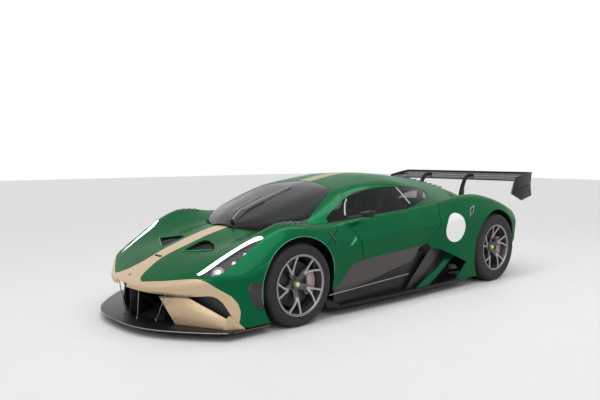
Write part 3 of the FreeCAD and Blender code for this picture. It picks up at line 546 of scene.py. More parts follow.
def mirror_copy(obj, name):
    """The same panel on the right side, with its normals."""
    old, flip = obj.data, Vector((-1, 1, 1))
    normals = [corner.vector * flip for corner in old.corner_normals]
    orders = [list(polygon.loop_indices)[::-1] for polygon in old.polygons]
    mesh = bpy.data.meshes.new(name)
    mesh.from_pydata([v.co * flip for v in old.vertices], [],
                     [[old.loops[i].vertex_index for i in order] for order in orders])
    for copied, polygon in zip(mesh.polygons, old.polygons):
        copied.material_index = polygon.material_index
        copied.use_smooth = polygon.use_smooth
    mesh.normals_split_custom_set([normals[i] for order in orders for i in order])
    for material in old.materials:
        mesh.materials.append(material)
    return new_object(name, mesh)


def solid(name, verts, faces, material, sharp=35.0):
    mesh = bpy.data.meshes.new(name)
    mesh.from_pydata([tuple(v) for v in verts], [], faces)
    bm = bmesh.new()
    bm.from_mesh(mesh)
    bmesh.ops.recalc_face_normals(bm, faces=bm.faces[:])
    bm.to_mesh(mesh)
    bm.free()
    mesh.shade_smooth()
    mesh.set_sharp_from_angle(angle=math.radians(sharp))
    mesh.materials.append(M[material])
    return new_object(name, mesh)


def soften(obj, width):
    bevel = obj.modifiers.new("edge", "BEVEL")
    bevel.width = width
    bevel.segments = 2
    bevel.limit_method = "ANGLE"
    bevel.harden_normals = False
    return obj


def prism(name, outline, view, low, high, material, edge=0.0):
    """A plate from an outline seen from one side, between two depths."""
    axis = 3 - view[0] - view[1]
    verts = []
    for depth in (low, high):
        for point in outline:
            v = [0.0, 0.0, 0.0]
            v[view[0]], v[view[1]], v[axis] = point[0], point[1], depth
            verts.append(v)
    n = len(outline)
    faces = [list(range(n)), list(range(n, 2 * n))[::-1]]
    faces += [[i, (i + 1) % n, n + (i + 1) % n, n + i] for i in range(n)]
    obj = solid(name, verts, faces, material)
    return soften(obj, edge) if edge else obj


def between(rings, count, closed, wrap=False):
    """Faces between rings of equally many points; where it wraps, the last ring meets the first."""
    faces = []
    for k in range(rings if wrap else rings - 1):
        near, far = k * count, (k + 1) % rings * count
        for i in range(count if closed else count - 1):
            j = (i + 1) % count
            faces.append([near + i, near + j, far + j, far + i])
    return faces


def loft(name, rings, material, sharp=40.0):
    """A solid through rings of equally many points."""
    n = len(rings[0])
    caps = [list(range(n)), list(range((len(rings) - 1) * n, len(rings) * n))]
    return solid(name, [p for ring in rings for p in ring], between(len(rings), n, True) + caps, material, sharp)


def lathe(name, profile, segments, material, sharp=40.0, closed=False, centre=(0, 0)):
    """A piece turned round the X axis, or a line beside it, from points (radius, x)."""
    verts = []
    for k in range(segments):
        a = 2 * math.pi * k / segments
        verts += [(x, centre[0] + r * math.cos(a), centre[1] + r * math.sin(a)) for r, x in profile]
    return solid(name, verts, between(segments, len(profile), closed, True), material, sharp)


def tube(name, points, radius, material, sides=10, round_path=0):
    path = smooth(points, round_path) if round_path else [Vector(p) for p in points]
    rings = []
    across = None
    for k, point in enumerate(path):
        run = (path[min(k + 1, len(path) - 1)] - path[max(k - 1, 0)]).normalized()
        if across is None:
            across = run.orthogonal().normalized()
        across = (across - run * across.dot(run)).normalized()
        other = run.cross(across)
        turns = [2 * math.pi * j / sides for j in range(sides)]
        rings.append([point + (across * math.cos(a) + other * math.sin(a)) * radius for a in turns])
    return loft(name, rings, material, sharp=60.0)


def sheet_of(name, rows, wall, material, each=3):
    """A curved plate through rows of points."""
    dense = [smooth(row, each) for row in rows]
    columns = [smooth([row[k] for row in dense], each) for k in range(len(dense[0]))]
    tall, wide = len(columns[0]), len(columns)
    verts = [column[j] for j in range(tall) for column in columns]
    obj = solid(name, verts, between(tall, wide, False), material)
    thick = obj.modifiers.new("wall", "SOLIDIFY")
    thick.thickness = wall
    thick.offset = 0
    return obj


def plate(name, corners, wall, material, edge=0.004):
    """A flat-sided plate through corner points, thickened backwards."""
    normal = (corners[1] - corners[0]).cross(corners[-1] - corners[0]).normalized()
    return soften(loft(name, [corners, [c - normal * wall for c in corners]], material), edge)


def join(name, pieces):
    """One object of several, each keeping its finish."""
    bpy.context.view_layer.update()
    graph = bpy.context.evaluated_depsgraph_get()
    verts, faces, tones, materials = [], [], [], []
    for piece in pieces:
        mesh = piece.evaluated_get(graph).to_mesh()
        start = len(verts)
        verts.extend(piece.matrix_world @ v.co for v in mesh.vertices)
        for polygon in mesh.polygons:
            material = mesh.materials[polygon.material_index]
            if material not in materials:
                materials.append(material)
            faces.append([start + i for i in polygon.vertices])
            tones.append(materials.index(material))
    mesh = bpy.data.meshes.new(name)
    mesh.from_pydata(verts, [], faces)
    for material in materials:
        mesh.materials.append(bpy.data.materials[material.name])
    for polygon, tone in zip(mesh.polygons, tones):
        polygon.material_index = tone
    mesh.shade_smooth()
    mesh.set_sharp_from_angle(angle=math.radians(38))
    for piece in pieces:
        bpy.data.objects.remove(piece, do_unlink=True)
    return new_object(name, mesh)


def flipped(obj, name):
    """The mirror image of a plain piece."""
    mesh = obj.data.copy()
    bm = bmesh.new()
    bm.from_mesh(mesh)
    for vert in bm.verts:
        vert.co.x = -vert.co.x
    bmesh.ops.reverse_faces(bm, faces=bm.faces[:])
    bm.to_mesh(mesh)
    bm.free()
    return new_object(name, mesh)


def fit(name, pieces, node, twice=True):
    """One piece of the body from several; twice adds their mirror images."""
    if twice:
        left = join(name + "_l", pieces)
        pieces = [left, flipped(left, name + "_r")]
    return shown(join(name, pieces), "body", node)


def met(surface, start, aim, push):
    """Where a ray meets a surface, a little proud of it."""
    hit = surface.tree.ray_cast(Vector(start), Vector(aim))
    return hit[0] + hit[1] * push


def on_side(surface, station, z, push=0.0):
    """The point at a station and height (mm), met from the left."""
    return met(surface, (2.0, yy(station), z / 1000), (-1, 0, 0), push)


def on_top(surface, x, station, push=0.0):
    """The point at an x and station (mm), met from above."""
    return met(surface, (x / 1000, yy(station), 2.0), (0, 0, -1), push)


# Outlines. Side views are (station, z) and plans (x, station), in millimetres.
FRONT_ARCH = arc_outline(FRONT_AXLE, FRONT_TYRE, FRONT_OPENING)
REAR_ARCH = arc_outline(REAR_AXLE, REAR_TYRE, REAR_OPENING)
DOOR = by_station([(560, 960), (560, 745), (585, 705), (616, 668), (645, 625), (670, 580), (700, 530), (725, 480),
                   (742, 437), (1150, 463), (1565, 491), (1640, 548), (1716, 620), (1742, 690), (1766, 770),
                   (1800, 820), (1832, 862), (1800, 960)])
FENDER_TAIL = by_station([(742, 437), (700, 434), (650, 422), (600, 396), (550, 355), (500, 308), (450, 262),
                          (408, 236), (100, 200), (100, 0), (1700, 0), (1700, 444), (1656, 444), (1600, 492),
                          (1565, 491)])
INTAKE = by_station([(1656, 444), (1810, 411), (2165, 262), (2017, 60), (1200, 60), (1500, 470), (1600, 492)])
LAMP = in_plan([(632, -742), (660, -748), (700, -738), (755, -704), (800, -655), (818, -600), (826, -520),
                (824, -460), (830, -340), (828, -285), (800, -284), (752, -318), (708, -385), (684, -470),
                (668, -560), (648, -655)])
LAMP_STRIP = in_plan([(632, -742), (656, -742), (672, -715), (692, -640), (716, -550), (738, -460), (772, -385),
                      (818, -310), (828, -285), (800, -284), (752, -318), (708, -385), (684, -470), (668, -560),
                      (648, -655)])
VENT = in_plan([(168, -590), (150, -440), (160, -384), (205, -372), (330, -402), (436, -462), (430, -474),
                (300, -532)])
OUTLET = by_station([(-488, 388), (-470, 400), (-362, 402), (-350, 392), (-362, 205), (-378, 192), (-437, 218),
                     (-462, 280)])
STRIPE = in_plan([(0, -60), (88, -60), (87, -480), (78, -640), (75, -730), (86, -800), (102, -845), (122, -893),
                  (146, -930), (176, -958), (208, -972), (235, -974), (262, -964), (300, -948), (400, -904),
                  (500, -856), (600, -807), (700, -757), (760, -715), (900, -600), (1100, -600), (1100, -1100),
                  (0, -1100)])
SURROUND = by_station([(-760, 434), (-736, 426), (-678, 378), (-595, 317), (-555, 262), (-538, 205), (-538, 155),
                       (-550, 60), (-1200, 60), (-1200, 434)])
# The side panel is darker carbon below this line, painted shade under the panel's crease
PANEL_SHADED_FOOT = by_station([(300, 190), (500, 200), (846, 236), (1047, 284), (1330, 335), (1700, 385), (1700, 0),
                         (300, 0)])
FENDER_LINE = by_station([(425, 900), (425, 724), (330, 665), (240, 605), (150, 560), (-100, 400), (-100, 0),
                          (760, 0), (760, 900)])
WINDSCREEN = in_plan([(0, -160), (800, -200), (745, 60), (690, 270), (625, 440), (560, 610), (520, 680), (470, 725),
                      (300, 795), (150, 836), (0, 850)])
SIDE_GLASS = by_station([(420, 800), (487, 838), (600, 888), (721, 940), (820, 974), (930, 1001), (1100, 1019),
                         (1344, 1027), (1600, 1020), (1780, 1004), (1880, 985), (1935, 962), (1930, 946),
                         (1860, 926), (1740, 902), (1600, 874), (1552, 863), (1460, 846), (1377, 833), (1200, 800),
                         (1000, 740), (400, 740)])
DOOR_CABIN = by_station([(600, 700), (604, 812), (742, 990), (950, 1041), (1200, 1056), (1450, 1042), (1650, 1009),
                         (1796, 966), (1840, 905), (1842, 862), (1832, 700)])
DECK = in_plan([(0, 1900), (330, 1900), (265, 2840), (0, 2840)])

# Body skin
body = half_skin(BODY, -1030, 3180, 24, 5)
guide = Guide(body)
for outline in (FRONT_ARCH, REAR_ARCH, DOOR, FENDER_TAIL, INTAKE, LAMP, LAMP_STRIP, PANEL_SHADED_FOOT, VENT, OUTLET,
                STRIPE, SURROUND, FENDER_LINE):
    scribe(body, outline, PLAN if outline in (LAMP, LAMP_STRIP, VENT, STRIPE) else SIDE_VIEW)
cabin = half_skin(CABIN, -100, 2800, 26, 6)
cabin_guide = Guide(cabin)
for outline, view in ((WINDSCREEN, PLAN), (SIDE_GLASS, SIDE_VIEW), (DOOR_CABIN, SIDE_VIEW), (DECK, PLAN)):
    scribe(cabin, outline, view)
# Where one skin covers the other by this much, its faces are left out
OVERLAP = 0.012
# Past these x a face is on the car's side, or on the side of the cabin
SIDE_X, CABIN_SIDE_X = 0.6, 0.4
# Lowest faces that an outline in plan may cut for the lamp and for the vent
LAMP_LOWEST, VENT_LOWEST = 0.437, 0.48
# The side panel begins behind the front wheel, and the rear clam behind the door
PANEL_START, CLAM_START = FRONT_AXLE + 0.38, FRONT_AXLE + 1.5
# The outlets lie past OUTLET_X. The stripe stays inside CORNER_X, except ahead of NOSE_Y. The gold
# surround lies past SURROUND_X, and there below SURROUND_TOP or past CORNER_X.
OUTLET_X, CORNER_X, SURROUND_X = 0.85, 0.70, 0.45
NOSE_Y, SURROUND_TOP = FRONT_AXLE - 0.75, 0.35


def under_cabin(point):
    hit = cabin_guide.tree.ray_cast(Vector((point.x, point.y, -1.0)), Vector((0, 0, 1)))
    return hit[0] is not None and hit[0].z > point.z + OVERLAP


def over_body(point):
    hit = guide.tree.ray_cast(Vector((point.x, point.y, 2.0)), Vector((0, 0, -1)))
    return hit[0] is None or hit[0].z < point.z + OVERLAP


def body_zone(c):
    side, top = flat(c, SIDE_VIEW), flat(c, PLAN)
    beside = c.x > SIDE_X
    if beside and (within(side, FRONT_ARCH) or within(side, REAR_ARCH)) or under_cabin(c):
        return "open"
    if c.z > LAMP_LOWEST and within(top, LAMP):
        return "lamp"
    if c.z > VENT_LOWEST and within(top, VENT):
        return "open"
    if c.x > OUTLET_X and within(side, OUTLET):
        return "open"
    if beside and within(side, DOOR):
        return "door"
    if beside and within(side, INTAKE):
        return "open"
    if within(side, FENDER_TAIL):
        return "open" if c.y < PANEL_START else "sill"
    if c.y > CLAM_START:
        return "rear"
    return "fender" if beside and within(side, FENDER_LINE) else "front"


def body_tint(c):
    side, top = flat(c, SIDE_VIEW), flat(c, PLAN)
    if within(top, STRIPE) and (c.x < CORNER_X or c.y < NOSE_Y):
        return 1
    return 1 if (c.x > CORNER_X or c.z < SURROUND_TOP) and c.x > SURROUND_X and within(side, SURROUND) else 0


# Painted light and shade on the side panel: darker carbon cloth below the lower line, lighter carbon above it
def panel_painted_shade(c):
    return 1 if within(flat(c, SIDE_VIEW), PANEL_SHADED_FOOT) else 0


def cabin_zone(c):
    side, top = flat(c, SIDE_VIEW), flat(c, PLAN)
    if not over_body(c):
        return "open"
    if within(top, WINDSCREEN):
        return "screen"
    if within(top, DECK):
        return "deck"
    if c.x > CABIN_SIDE_X and within(side, DOOR_CABIN):
        return "door_glass" if within(side, SIDE_GLASS) else "door"
    if c.x > CABIN_SIDE_X and within(side, SIDE_GLASS):
        return "quarter"
    return "roof"


def sorted_faces(bm, zone):
    groups = {}
    bm.faces.ensure_lookup_table()
    bm.faces.index_update()
    for face in bm.faces:
        groups.setdefault(zone(face.calc_center_median()), []).append(face)
    return groups


zones = sorted_faces(body, body_zone)
tops = sorted_faces(cabin, cabin_zone)
LOWER, UPPER = (body, guide), (cabin, cabin_guide)
GREEN_ONLY, GLASS_ONLY = ("green",), ("glass",)
# Panels on both sides: name, skin, faces, wall, gap and lift in millimetres, finishes, tint, node, slot
for name, (skin, trend), faces, wall, gap, lift, tones, tint, node, slot in (
        ("front_clam_skin", LOWER, zones["front"], 12, 2.5, 0, ("green", "gold"), body_tint, "front_clam",
         "green_paint"),
        ("front_fender_skin", LOWER, zones["fender"], 12, 2.5, 0, GREEN_ONLY, None, None, "green_paint"),
        ("rear_clam_skin", LOWER, zones["rear"], 12, 3, 0, GREEN_ONLY, None, "rear_clam", "green_paint"),
        ("side_panel_skin", LOWER, zones["sill"], 10, 2, -4, ("panel", "carbon"), panel_painted_shade, "side_panels",
         "carbon"),
        ("roof_skin", UPPER, tops["roof"], 20, 1.5, 0, ("green_striped",), None, "roof", "green_paint"),
        ("windscreen_glass", UPPER, tops["screen"], 5, 1, -2, ("screen",), None, "windscreen", "dark_glass"),
        ("quarter_pane", UPPER, tops["quarter"], 5, 1, -2, GLASS_ONLY, None, "quarter_glass", "dark_glass"),
        ("engine_deck", UPPER, tops["deck"], 12, 2, -4, ("carbon",), None, "engine_cover", "green_paint"),
        ("headlamp_lens_skin", LOWER, zones["lamp"], 3, 1, -1, ("lens",), None, "headlamp_lenses", "clear_lens"),
        ("headlamp_bowl", LOWER, zones["lamp"], 30, 1, -50, ("deep",), None, "headlamps", "lamp_black")):
    panel = shell(name, skin, faces, trend, wall / 1000, gap / 1000, True, tones, tint, lift / 1000)
    shown(panel, "body", node)
# Panels of the doors: name, skin, faces, wall, gap and lift in millimetres, finishes, node, slot
for name, (skin, trend), faces, wall, gap, lift, tones, node, slot in (
        ("door_skin", LOWER, zones["door"], 20, 2.5, 0, GREEN_ONLY, "door_", "green_paint"),
        ("door_top", UPPER, tops["door"], 20, 2.5, 0, GREEN_ONLY, None, "green_paint"),
        ("door_pane", UPPER, tops["door_glass"], 5, 1, -2, GLASS_ONLY, "door_glass_", "dark_glass")):
    left = shell(name + "_left", skin, faces, trend, wall / 1000, gap / 1000, False, tones, lift=lift / 1000)
    for side, obj in (("left", left), ("right", mirror_copy(left, name + "_right"))):
        shown(obj, "door_" + side, node + side if node else None)

# Wheels: the axles' y, half track, tyre radius, tyre width, and the angle of the first spoke
AXLES = {
    "front": (FRONT_AXLE, 0.795, FRONT_TYRE, 0.270, 54),
    "rear": (REAR_AXLE, 0.789, REAR_TYRE, 0.310, 27),
}
RIM = 0.232
SPOKES = 5
DISC_DEPTH = 0.0953
DRILLINGS = 60
# Rows (radius, angle, depth of the face, width, thickness) of a spoke's stem and its two prongs,
# in millimetres and radians
SPOKE_RUNS = (
    ((40, -0.16, 64, 51, 30), (75, -0.10, 50, 51, 34), (108, -0.06, 38, 57, 30), (126, -0.09, 33, 45, 26)),
    ((100, -0.06, 40, 33, 30), (140, -0.01, 28, 25.5, 28), (185, 0.01, 17, 21, 26), (226, 0.015, 8, 25.5, 24)),
    ((100, -0.08, 40, 33, 30), (135, -0.22, 28, 25.5, 28), (180, -0.38, 17, 21, 26),
     (226, math.radians(-28) - 0.02, 8, 25.5, 24)),
)


def turned(rows, radius, depth):
    """Points (radius, x) in metres from rows (radius, depth) in millimetres."""
    return [(radius + r / 1000, depth - d / 1000) for r, d in rows]


def forked_spoke(base, half):
    """A dark stem from the hub that splits in two bright prongs."""
    pieces = []
    out = Vector((1, 0, 0))
    for run in SPOKE_RUNS:
        centres = [Vector((half - sunk / 1000, r / 1000 * math.cos(base + a), r / 1000 * math.sin(base + a)))
                   for r, a, sunk, wide, deep in run]
        rings = []
        for k, (r, a, sunk, wide, deep) in enumerate(run):
            along = (centres[min(k + 1, 3)] - centres[max(k - 1, 0)]).normalized()
            across = along.cross(out).normalized() * (wide / 2000)
            rings.append([centres[k] + across * share - out * (depth / 1000) for share, depth in
                          ((1, 5), (0.6, 0), (-0.6, 0), (-1, 5), (-0.8, deep), (0.8, deep))])
        smoothed = [smooth([ring[i] for ring in rings], 4) for i in range(6)]
        arm = loft("spoke", [[line[k] for line in smoothed] for k in range(len(smoothed[0]))], "rim", 25.0)
        arm.data.materials.append(M["rim_cut"])
        if run is not SPOKE_RUNS[0]:
            for polygon in arm.data.polygons:
                polygon.material_index = 1 if polygon.normal.x > 0.8 else 0
        pieces.append(arm)
    return pieces


def wheel(corner, side, axle):
    y, tread, radius, width, first = AXLES[axle]
    half, wide = width / 2, width * 1000
    outer = turned([(-4, 12), (4, 6), (12, 8), (30, 3), (45, 0.5)], RIM, half)
    outer += [((RIM + radius) / 2 + 0.008, half)]
    outer += turned([(-34, 1), (-22, 5), (-12, 12), (-5, 22), (-1, 40), (0, 60)], radius, half)
    profile = [(RIM - 0.004, -half + 0.02)] + [(r, -x) for r, x in outer[1:]] + outer[::-1]
    tyre = lathe("tyre_skin_" + corner, profile, 96, "rubber", 50.0)
    rim_parts = []
    for name, rows, start, segments, tone, sharp in (
            ("barrel", [(-4, 2), (6, 4), (7, 9), (-6, 12), (-12, 30), (-22, 60), (-22, wide - 30), (-4, wide - 10)],
             RIM, 96, "rim", 40),
            ("lip", [(-10, 8), (-7, 3), (6.5, 3)], RIM, 96, "rim_cut", 40),
            ("hub", [(26, 62), (34, 58), (38, 56), (41, 58), (43, 66), (58, 70), (64, 78), (64, 100)],
             0, 40, "rim", 40),
            ("well", [(0, 64), (36, 64)], 0, 40, "deep", 40),
            ("nut", [(0, 34), (14, 34), (18, 37), (21, 44), (21, 64)], 0, 16, "nut", 30)):
        rim_parts.append(lathe(name, turned(rows, start, half), segments, tone, sharp))
    for k in range(SPOKES):
        rim_parts += forked_spoke(math.radians(first + 360 / SPOKES * k), half)
    rim = join("rim_skin_" + corner, rim_parts)
    face = half - DISC_DEPTH
    brake_parts = [lathe("disc", turned([(75, 34), (178, 34), (178, 0), (75, 0)], 0, face), 64, "disc", 30.0, True),
                   lathe("bell", turned([(30, 10), (60, 4), (82, 2), (86, 10), (86, 30)], 0, face), 48, "rim")]
    for k in range(DRILLINGS):
        a, r = 2 * math.pi * k / DRILLINGS, 0.105 + 0.014 * (k % 5)
        brake_parts.append(lathe("dot", turned([(0, -0.6), (3.2, -0.6)], 0, face), 6, "deep",
                                 centre=(r * math.cos(a), r * math.sin(a))))
    brake = join("brake_skin_" + corner, brake_parts)
    for obj, node, slot in ((tyre, "tyre_", "tyre_rubber"), (rim, "rim_", "rim_metal"),
                            (brake, "brake_disc_", "disc_carbon")):
        if side < 0:
            twin = flipped(obj, obj.name + "_m")
            bpy.data.objects.remove(obj, do_unlink=True)
            twin.name = node + "skin_" + corner
            obj = twin
        for vert in obj.data.vertices:
            vert.co += Vector((side * tread, y, radius))
        shown(obj, "wheel_" + corner, node + corner)


for corner, side, axle in (("fl", 1, "front"), ("fr", -1, "front"), ("rl", 1, "rear"), ("rr", -1, "rear")):
    wheel(corner, side, axle)

# Nose: cheeks, grilles, duct, stays and splitter
cheek = plate("cheek_plate", pts((452, -825, 71), (806, -632, 71), (820, -612, 108), (810, -606, 146),
                                 (522, -757, 280), (302, -868, 252)), 0.012, "gold", 0.006)
rail = tube("cheek_rail", pts((300, -871, 260), (410, -818, 274), (520, -762, 289)), 0.005, "chrome", 8)
cheek_corner = sheet_of("cheek_corner", [pts((806, -634, 71), (850, -580, 71), (892, -500, 71)),
                                         pts((818, -616, 108), (852, -580, 105), (891, -505, 78)),
                                         pts((820, -616, 150), (842, -600, 175), (858, -580, 156))],
                        0.006, "gold", 4)
fit("cheek_skin", [cheek, rail, cheek_corner], "cheeks")
grille = sheet_of("grille_wing", [pts((337, -738, 70), (470, -700, 70), (600, -640, 70), (860, -520, 70)),
                                  pts((337, -748, 180), (470, -706, 190), (610, -648, 190), (862, -524, 200)),
                                  pts((337, -758, 288), (470, -712, 300), (620, -654, 305), (850, -530, 330))],
                  0.006, "mesh")
fit("front_grille_skin", [grille], "front_grilles")

duct = [prism("duct_back", [(-0.335, 0.07), (0.335, 0.07), (0.335, 0.325), (-0.335, 0.325)], FRONT_VIEW, yy(-640),
              yy(-628), "mesh"),
        prism("divider", by_station([(-960, 70), (-960, 320), (-640, 322), (-640, 70)]), SIDE_VIEW, -0.005, 0.005,
              "carbon", 0.002)]
duct += [prism("duct_wall", by_station([(-850, 70), (-850, 290), (-628, 300), (-628, 70)]), SIDE_VIEW,
               s * 0.333 - 0.003, s * 0.333 + 0.003, "carbon") for s in (-1, 1)]
for s in (-1, 1):
    duct.append(tube("vane", pts((s * 10, -905, 250), (s * 150, -800, 150), (s * 325, -760, 80)),
                     0.006, "carbon", 6))
    ramp = pts((s * 20, -900, 72), (s * 320, -820, 72), (s * 320, -640, 150), (s * 20, -640, 150))
    duct.append(plate("ramp", ramp, 0.004, "black", 0.001))
fit("nose_duct_skin", duct, "nose_duct", False)
rods = []
for x0, s0, x1, s1 in ((269, -880, 420, -872), (118, -960, 170, -968)):
    rods.append(tube("stay", pts((x0, s0, 71), (x1, s1, 318)), 0.0035, "alloy", 8))
    rods.append(tube("stay_foot", pts((x0 - 6, s0, 70), (x0 - 6, s0, 84)), 0.007, "alloy", 8))
fit("stay_skin", rods, "splitter_stays")

half = [(0, -1100), (160, -1094), (330, -1062), (500, -985), (660, -868), (800, -745), (893, -648), (900, -630),
        (900, -275), (560, -275), (560, -300), (0, -300)]
board = in_plan(half + [(-x, s) for x, s in half[-2:0:-1]])
splitter = [prism("splitter_board", board, PLAN, 0.0557, 0.0697, "carbon", 0.003)]
# A light alloy tube along the splitter's front edge, a painted highlight on the edge of the carbon blade
half = [(160, -1092), (330, -1060), (500, -984), (660, -867), (800, -745), (893, -648)]
edge = in_plan([(-x, s) for x, s in half[::-1]] + [(0, -1097)] + half)
splitter.append(tube("splitter_highlight_edge", [(x, y, 0.066) for x, y in edge], 0.003, "alloy", 6, 4))
for x in (-900.5, 900.5):
    strip = pts((x, -600, 58), (x, -280, 58), (x, -280, 67), (x, -600, 67))
    splitter.append(plate("copper", strip, 0.002, "copper", 0))
fit("splitter_skin", splitter, "splitter", False)

# Side outlets and bonnet vents
outlet_mesh = sheet_of("outlet_mesh", [pts((880, -500, 180), (890, -420, 180), (892, -340, 180)),
                                       pts((890, -500, 300), (900, -420, 300), (902, -340, 300)),
                                       pts((885, -500, 410), (895, -420, 410), (900, -340, 410))], 0.004, "mesh")
fit("outlet_grilles", [outlet_mesh], None)
vent = [sheet_of("vent_floor", [pts((140, -610, 520), (300, -560, 530), (450, -480, 560)),
                                pts((130, -500, 540), (290, -470, 550), (445, -430, 575)),
                                pts((130, -360, 595), (290, -355, 600), (440, -400, 600))], 0.004, "deep")]
for k in range(3):
    vent.append(tube("slat", pts((215 + 60 * k, -565 + 26 * k, 558 + 5 * k), (205 + 60 * k, -400, 598 - 4 * k)),
                     0.004, "black", 6))
fit("vent_floors", vent, None)

# Lamps: projectors, and strips along the inner edge of the openings
lamps = []
for x, s, z, size in ((748, -640, 470, 1.3), (778, -520, 532, 0.6), (795, -430, 590, 0.5)):
    ball = [(0.0, 0.012 * size), (0.014 * size, 0.010 * size), (0.024 * size, 0.003 * size),
            (0.029 * size, -0.006 * size)]
    ring = [(0.029 * size, -0.006 * size), (0.034 * size, 0.0), (0.038 * size, -0.004), (0.038 * size, -0.05)]
    turn = Matrix.Translation(pt(x, s, z)) @ Euler((0, math.radians(-20), math.radians(-62))).to_matrix().to_4x4()
    for obj in (lathe("projector", ball, 28, "chrome", 60.0), lathe("projector_ring", ring, 28, "alloy")):
        obj.data.transform(turn)
        lamps.append(obj)
fit("projectors", lamps, None)
strip_faces = [f for f in zones["lamp"] if within(flat(f.calc_center_median(), PLAN), LAMP_STRIP)]
glow = shell("daylight_strip", body, strip_faces, guide, 0.004, 0.0, True, ("glow",), lift=-0.006)
shown(glow, "body", None)

# Sides: strake, intake walls and sill tray. A strake row is x and wall, then station and z at both ends.
strake = loft("strake_plate", [
    pts((x, s0, z0), (x, s1, z1), (x - wall, s1, z1), (x - wall, s0, z0)) for x, wall, s0, z0, s1, z1 in (
        (905, 12, 1422, 96, 1602, 96), (899, 13, 1560, 160, 1712, 150), (886, 14, 1745, 230, 1860, 225),
        (866, 14, 1872, 296, 1990, 284), (848, 14, 1950, 350, 2110, 330))], "green", 60.0)
fit("strake_skin", [soften(strake, 0.003)], "strakes")
intake = sheet_of("intake_wall", [pts((862, 1316, 96), (845, 1640, 96), (770, 1900, 96), (690, 2200, 96)),
                                  pts((868, 1490, 270), (850, 1700, 270), (780, 1930, 270), (700, 2210, 270)),
                                  pts((872, 1668, 438), (845, 1800, 425), (790, 1990, 370), (715, 2220, 300))],
                  0.006, "black", 4)
fit("intake_skin", [intake], "intake_walls")
tray = prism("sill_tray", in_plan([(560, 440), (875, 400), (905, 470), (925, 1200), (908, 2230), (560, 2270)]),
             PLAN, 0.070, 0.084, "carbon", 0.003)
# A light alloy tube along the top edge of the sill ledge, a painted highlight on that edge
tray_highlight = tube("sill_highlight_line", pts((903, 320, 196), (900, 700, 214), (892, 1130, 232), (888, 1330, 240)),
                 0.004, "alloy", 6)
fin = plate("wheel_fin", pts((893, 285, 172), (893, 300, 90), (893, 470, 76), (893, 460, 92)),
            0.006, "carbon", 0.001)
fit("sill_trays", [tray, tray_highlight, fin], None)

# Mirrors
stalk = plate("stalk", pts((858, 556, 792), (862, 574, 812), (985, 735, 838), (985, 720, 818)),
              0.012, "carbon", 0.003)
head = loft("head", [pts((905, 640, 812), (990, 672, 816), (992, 672, 850), (908, 640, 838)),
                     pts((900, 690, 803), (998, 716, 808), (998, 716, 864), (902, 690, 850)),
                     pts((900, 742, 804), (996, 758, 810), (996, 758, 862), (902, 742, 850))], "carbon")
pane = plate("pane", pts((906, 744, 808), (990, 759, 814), (990, 759, 858), (907, 744, 846)), 0.002, "chrome", 0)
mirror = join("mirror_left_skin", [soften(head, 0.006), pane, stalk])
for side, obj in (("left", mirror), ("right", flipped(mirror, "mirror_right_skin"))):
    shown(obj, "door_" + side, "mirror_" + side)


# Rear wing, end plates and struts
def foil(lead, trail, thickness):
    """The side outline of a wing section between two edges (station, z)."""
    top, under = [], []
    for part, up, down in ((0.0, 0.0, 0.0), (0.04, 0.16, 0.3), (0.15, 0.26, 0.6), (0.4, 0.25, 0.86),
                           (0.7, 0.12, 0.6), (1.0, 0.04, 0.04)):
        station = lead[0] + (trail[0] - lead[0]) * part
        z = lead[1] + (trail[1] - lead[1]) * part
        top.append((station, z + up * thickness))
        under.append((station, z - down * thickness))
    return by_station(smooth(top, 4) + smooth(under[::-1], 4)[1:-1])


planes = [prism("main_plane", foil((3180, 1052), (3420, 1078), 34), SIDE_VIEW, -0.88, 0.88, "carbon"),
          prism("flap", foil((3408, 1086), (3524, 1118), 16), SIDE_VIEW, -0.88, 0.88, "carbon"),
          prism("gurney", by_station([(3519, 1118), (3523, 1118), (3525, 1130), (3521, 1130)]), SIDE_VIEW,
                -0.875, 0.875, "carbon")]
fit("wing_skin", planes, "wing_planes", False)
outline = by_station([(3160, 1076), (3088, 902), (3319, 818), (3548, 865), (3522, 995), (3548, 1134), (3380, 1114)])
side_plate = prism("end_plate", outline, SIDE_VIEW, 0.8803, 0.888, "carbon", 0.002)
fold = tube("fold", pts((889, 3090, 903), (889, 3520, 995)), 0.004, "carbon", 6)
fit("end_plate_skin", [side_plate, fold], "end_plates")
neck = smooth([(2940, 800), (2965, 900), (3010, 1000), (3070, 1075), (3140, 1108), (3262, 1108)], 5)
neck += [(3262, 1072), (3190, 1068), (3140, 1062), (3100, 1020), (3068, 950), (3062, 780)]
fit("strut_skin", [prism("neck", by_station(neck), SIDE_VIEW, 0.296, 0.304, "carbon", 0.002)], "wing_struts")

# Engine cover louvres, tail lamps and exhausts
louvres = []
for k in range(8):
    s = 1990 + 92 * k
    z = row_at(CABIN, s)[0] - 2
    louvres.append(prism("louvre", by_station([(s, z - 10), (s + 60, z + 6), (s + 62, z + 2), (s + 2, z - 14)]),
                         SIDE_VIEW, -0.25, 0.25, "black"))
fit("deck_louvres", louvres, None, False)
tail_bars = [tube("tail_bar", pts((s * 520, 3172, 655), (s * 700, 3170, 655), (s * 800, 3160, 662)),
                  0.006, "red", 8) for s in (-1, 1)]
fit("tail_lamp_skin", tail_bars, "tail_lamps", False)
pipes = []
for x in (-90, 90):
    pipe = lathe("pipe", [(0.044, 0.0), (0.044, 0.055), (0.048, 0.06), (0.048, 0.0)], 40, "steel", 30.0)
    pipe.data.transform(Matrix.Translation(pt(x, 3164, 560)) @ Matrix.Rotation(math.radians(90), 4, "Z"))
    pipes.append(pipe)
fit("exhaust_skin", pipes, "exhausts", False)


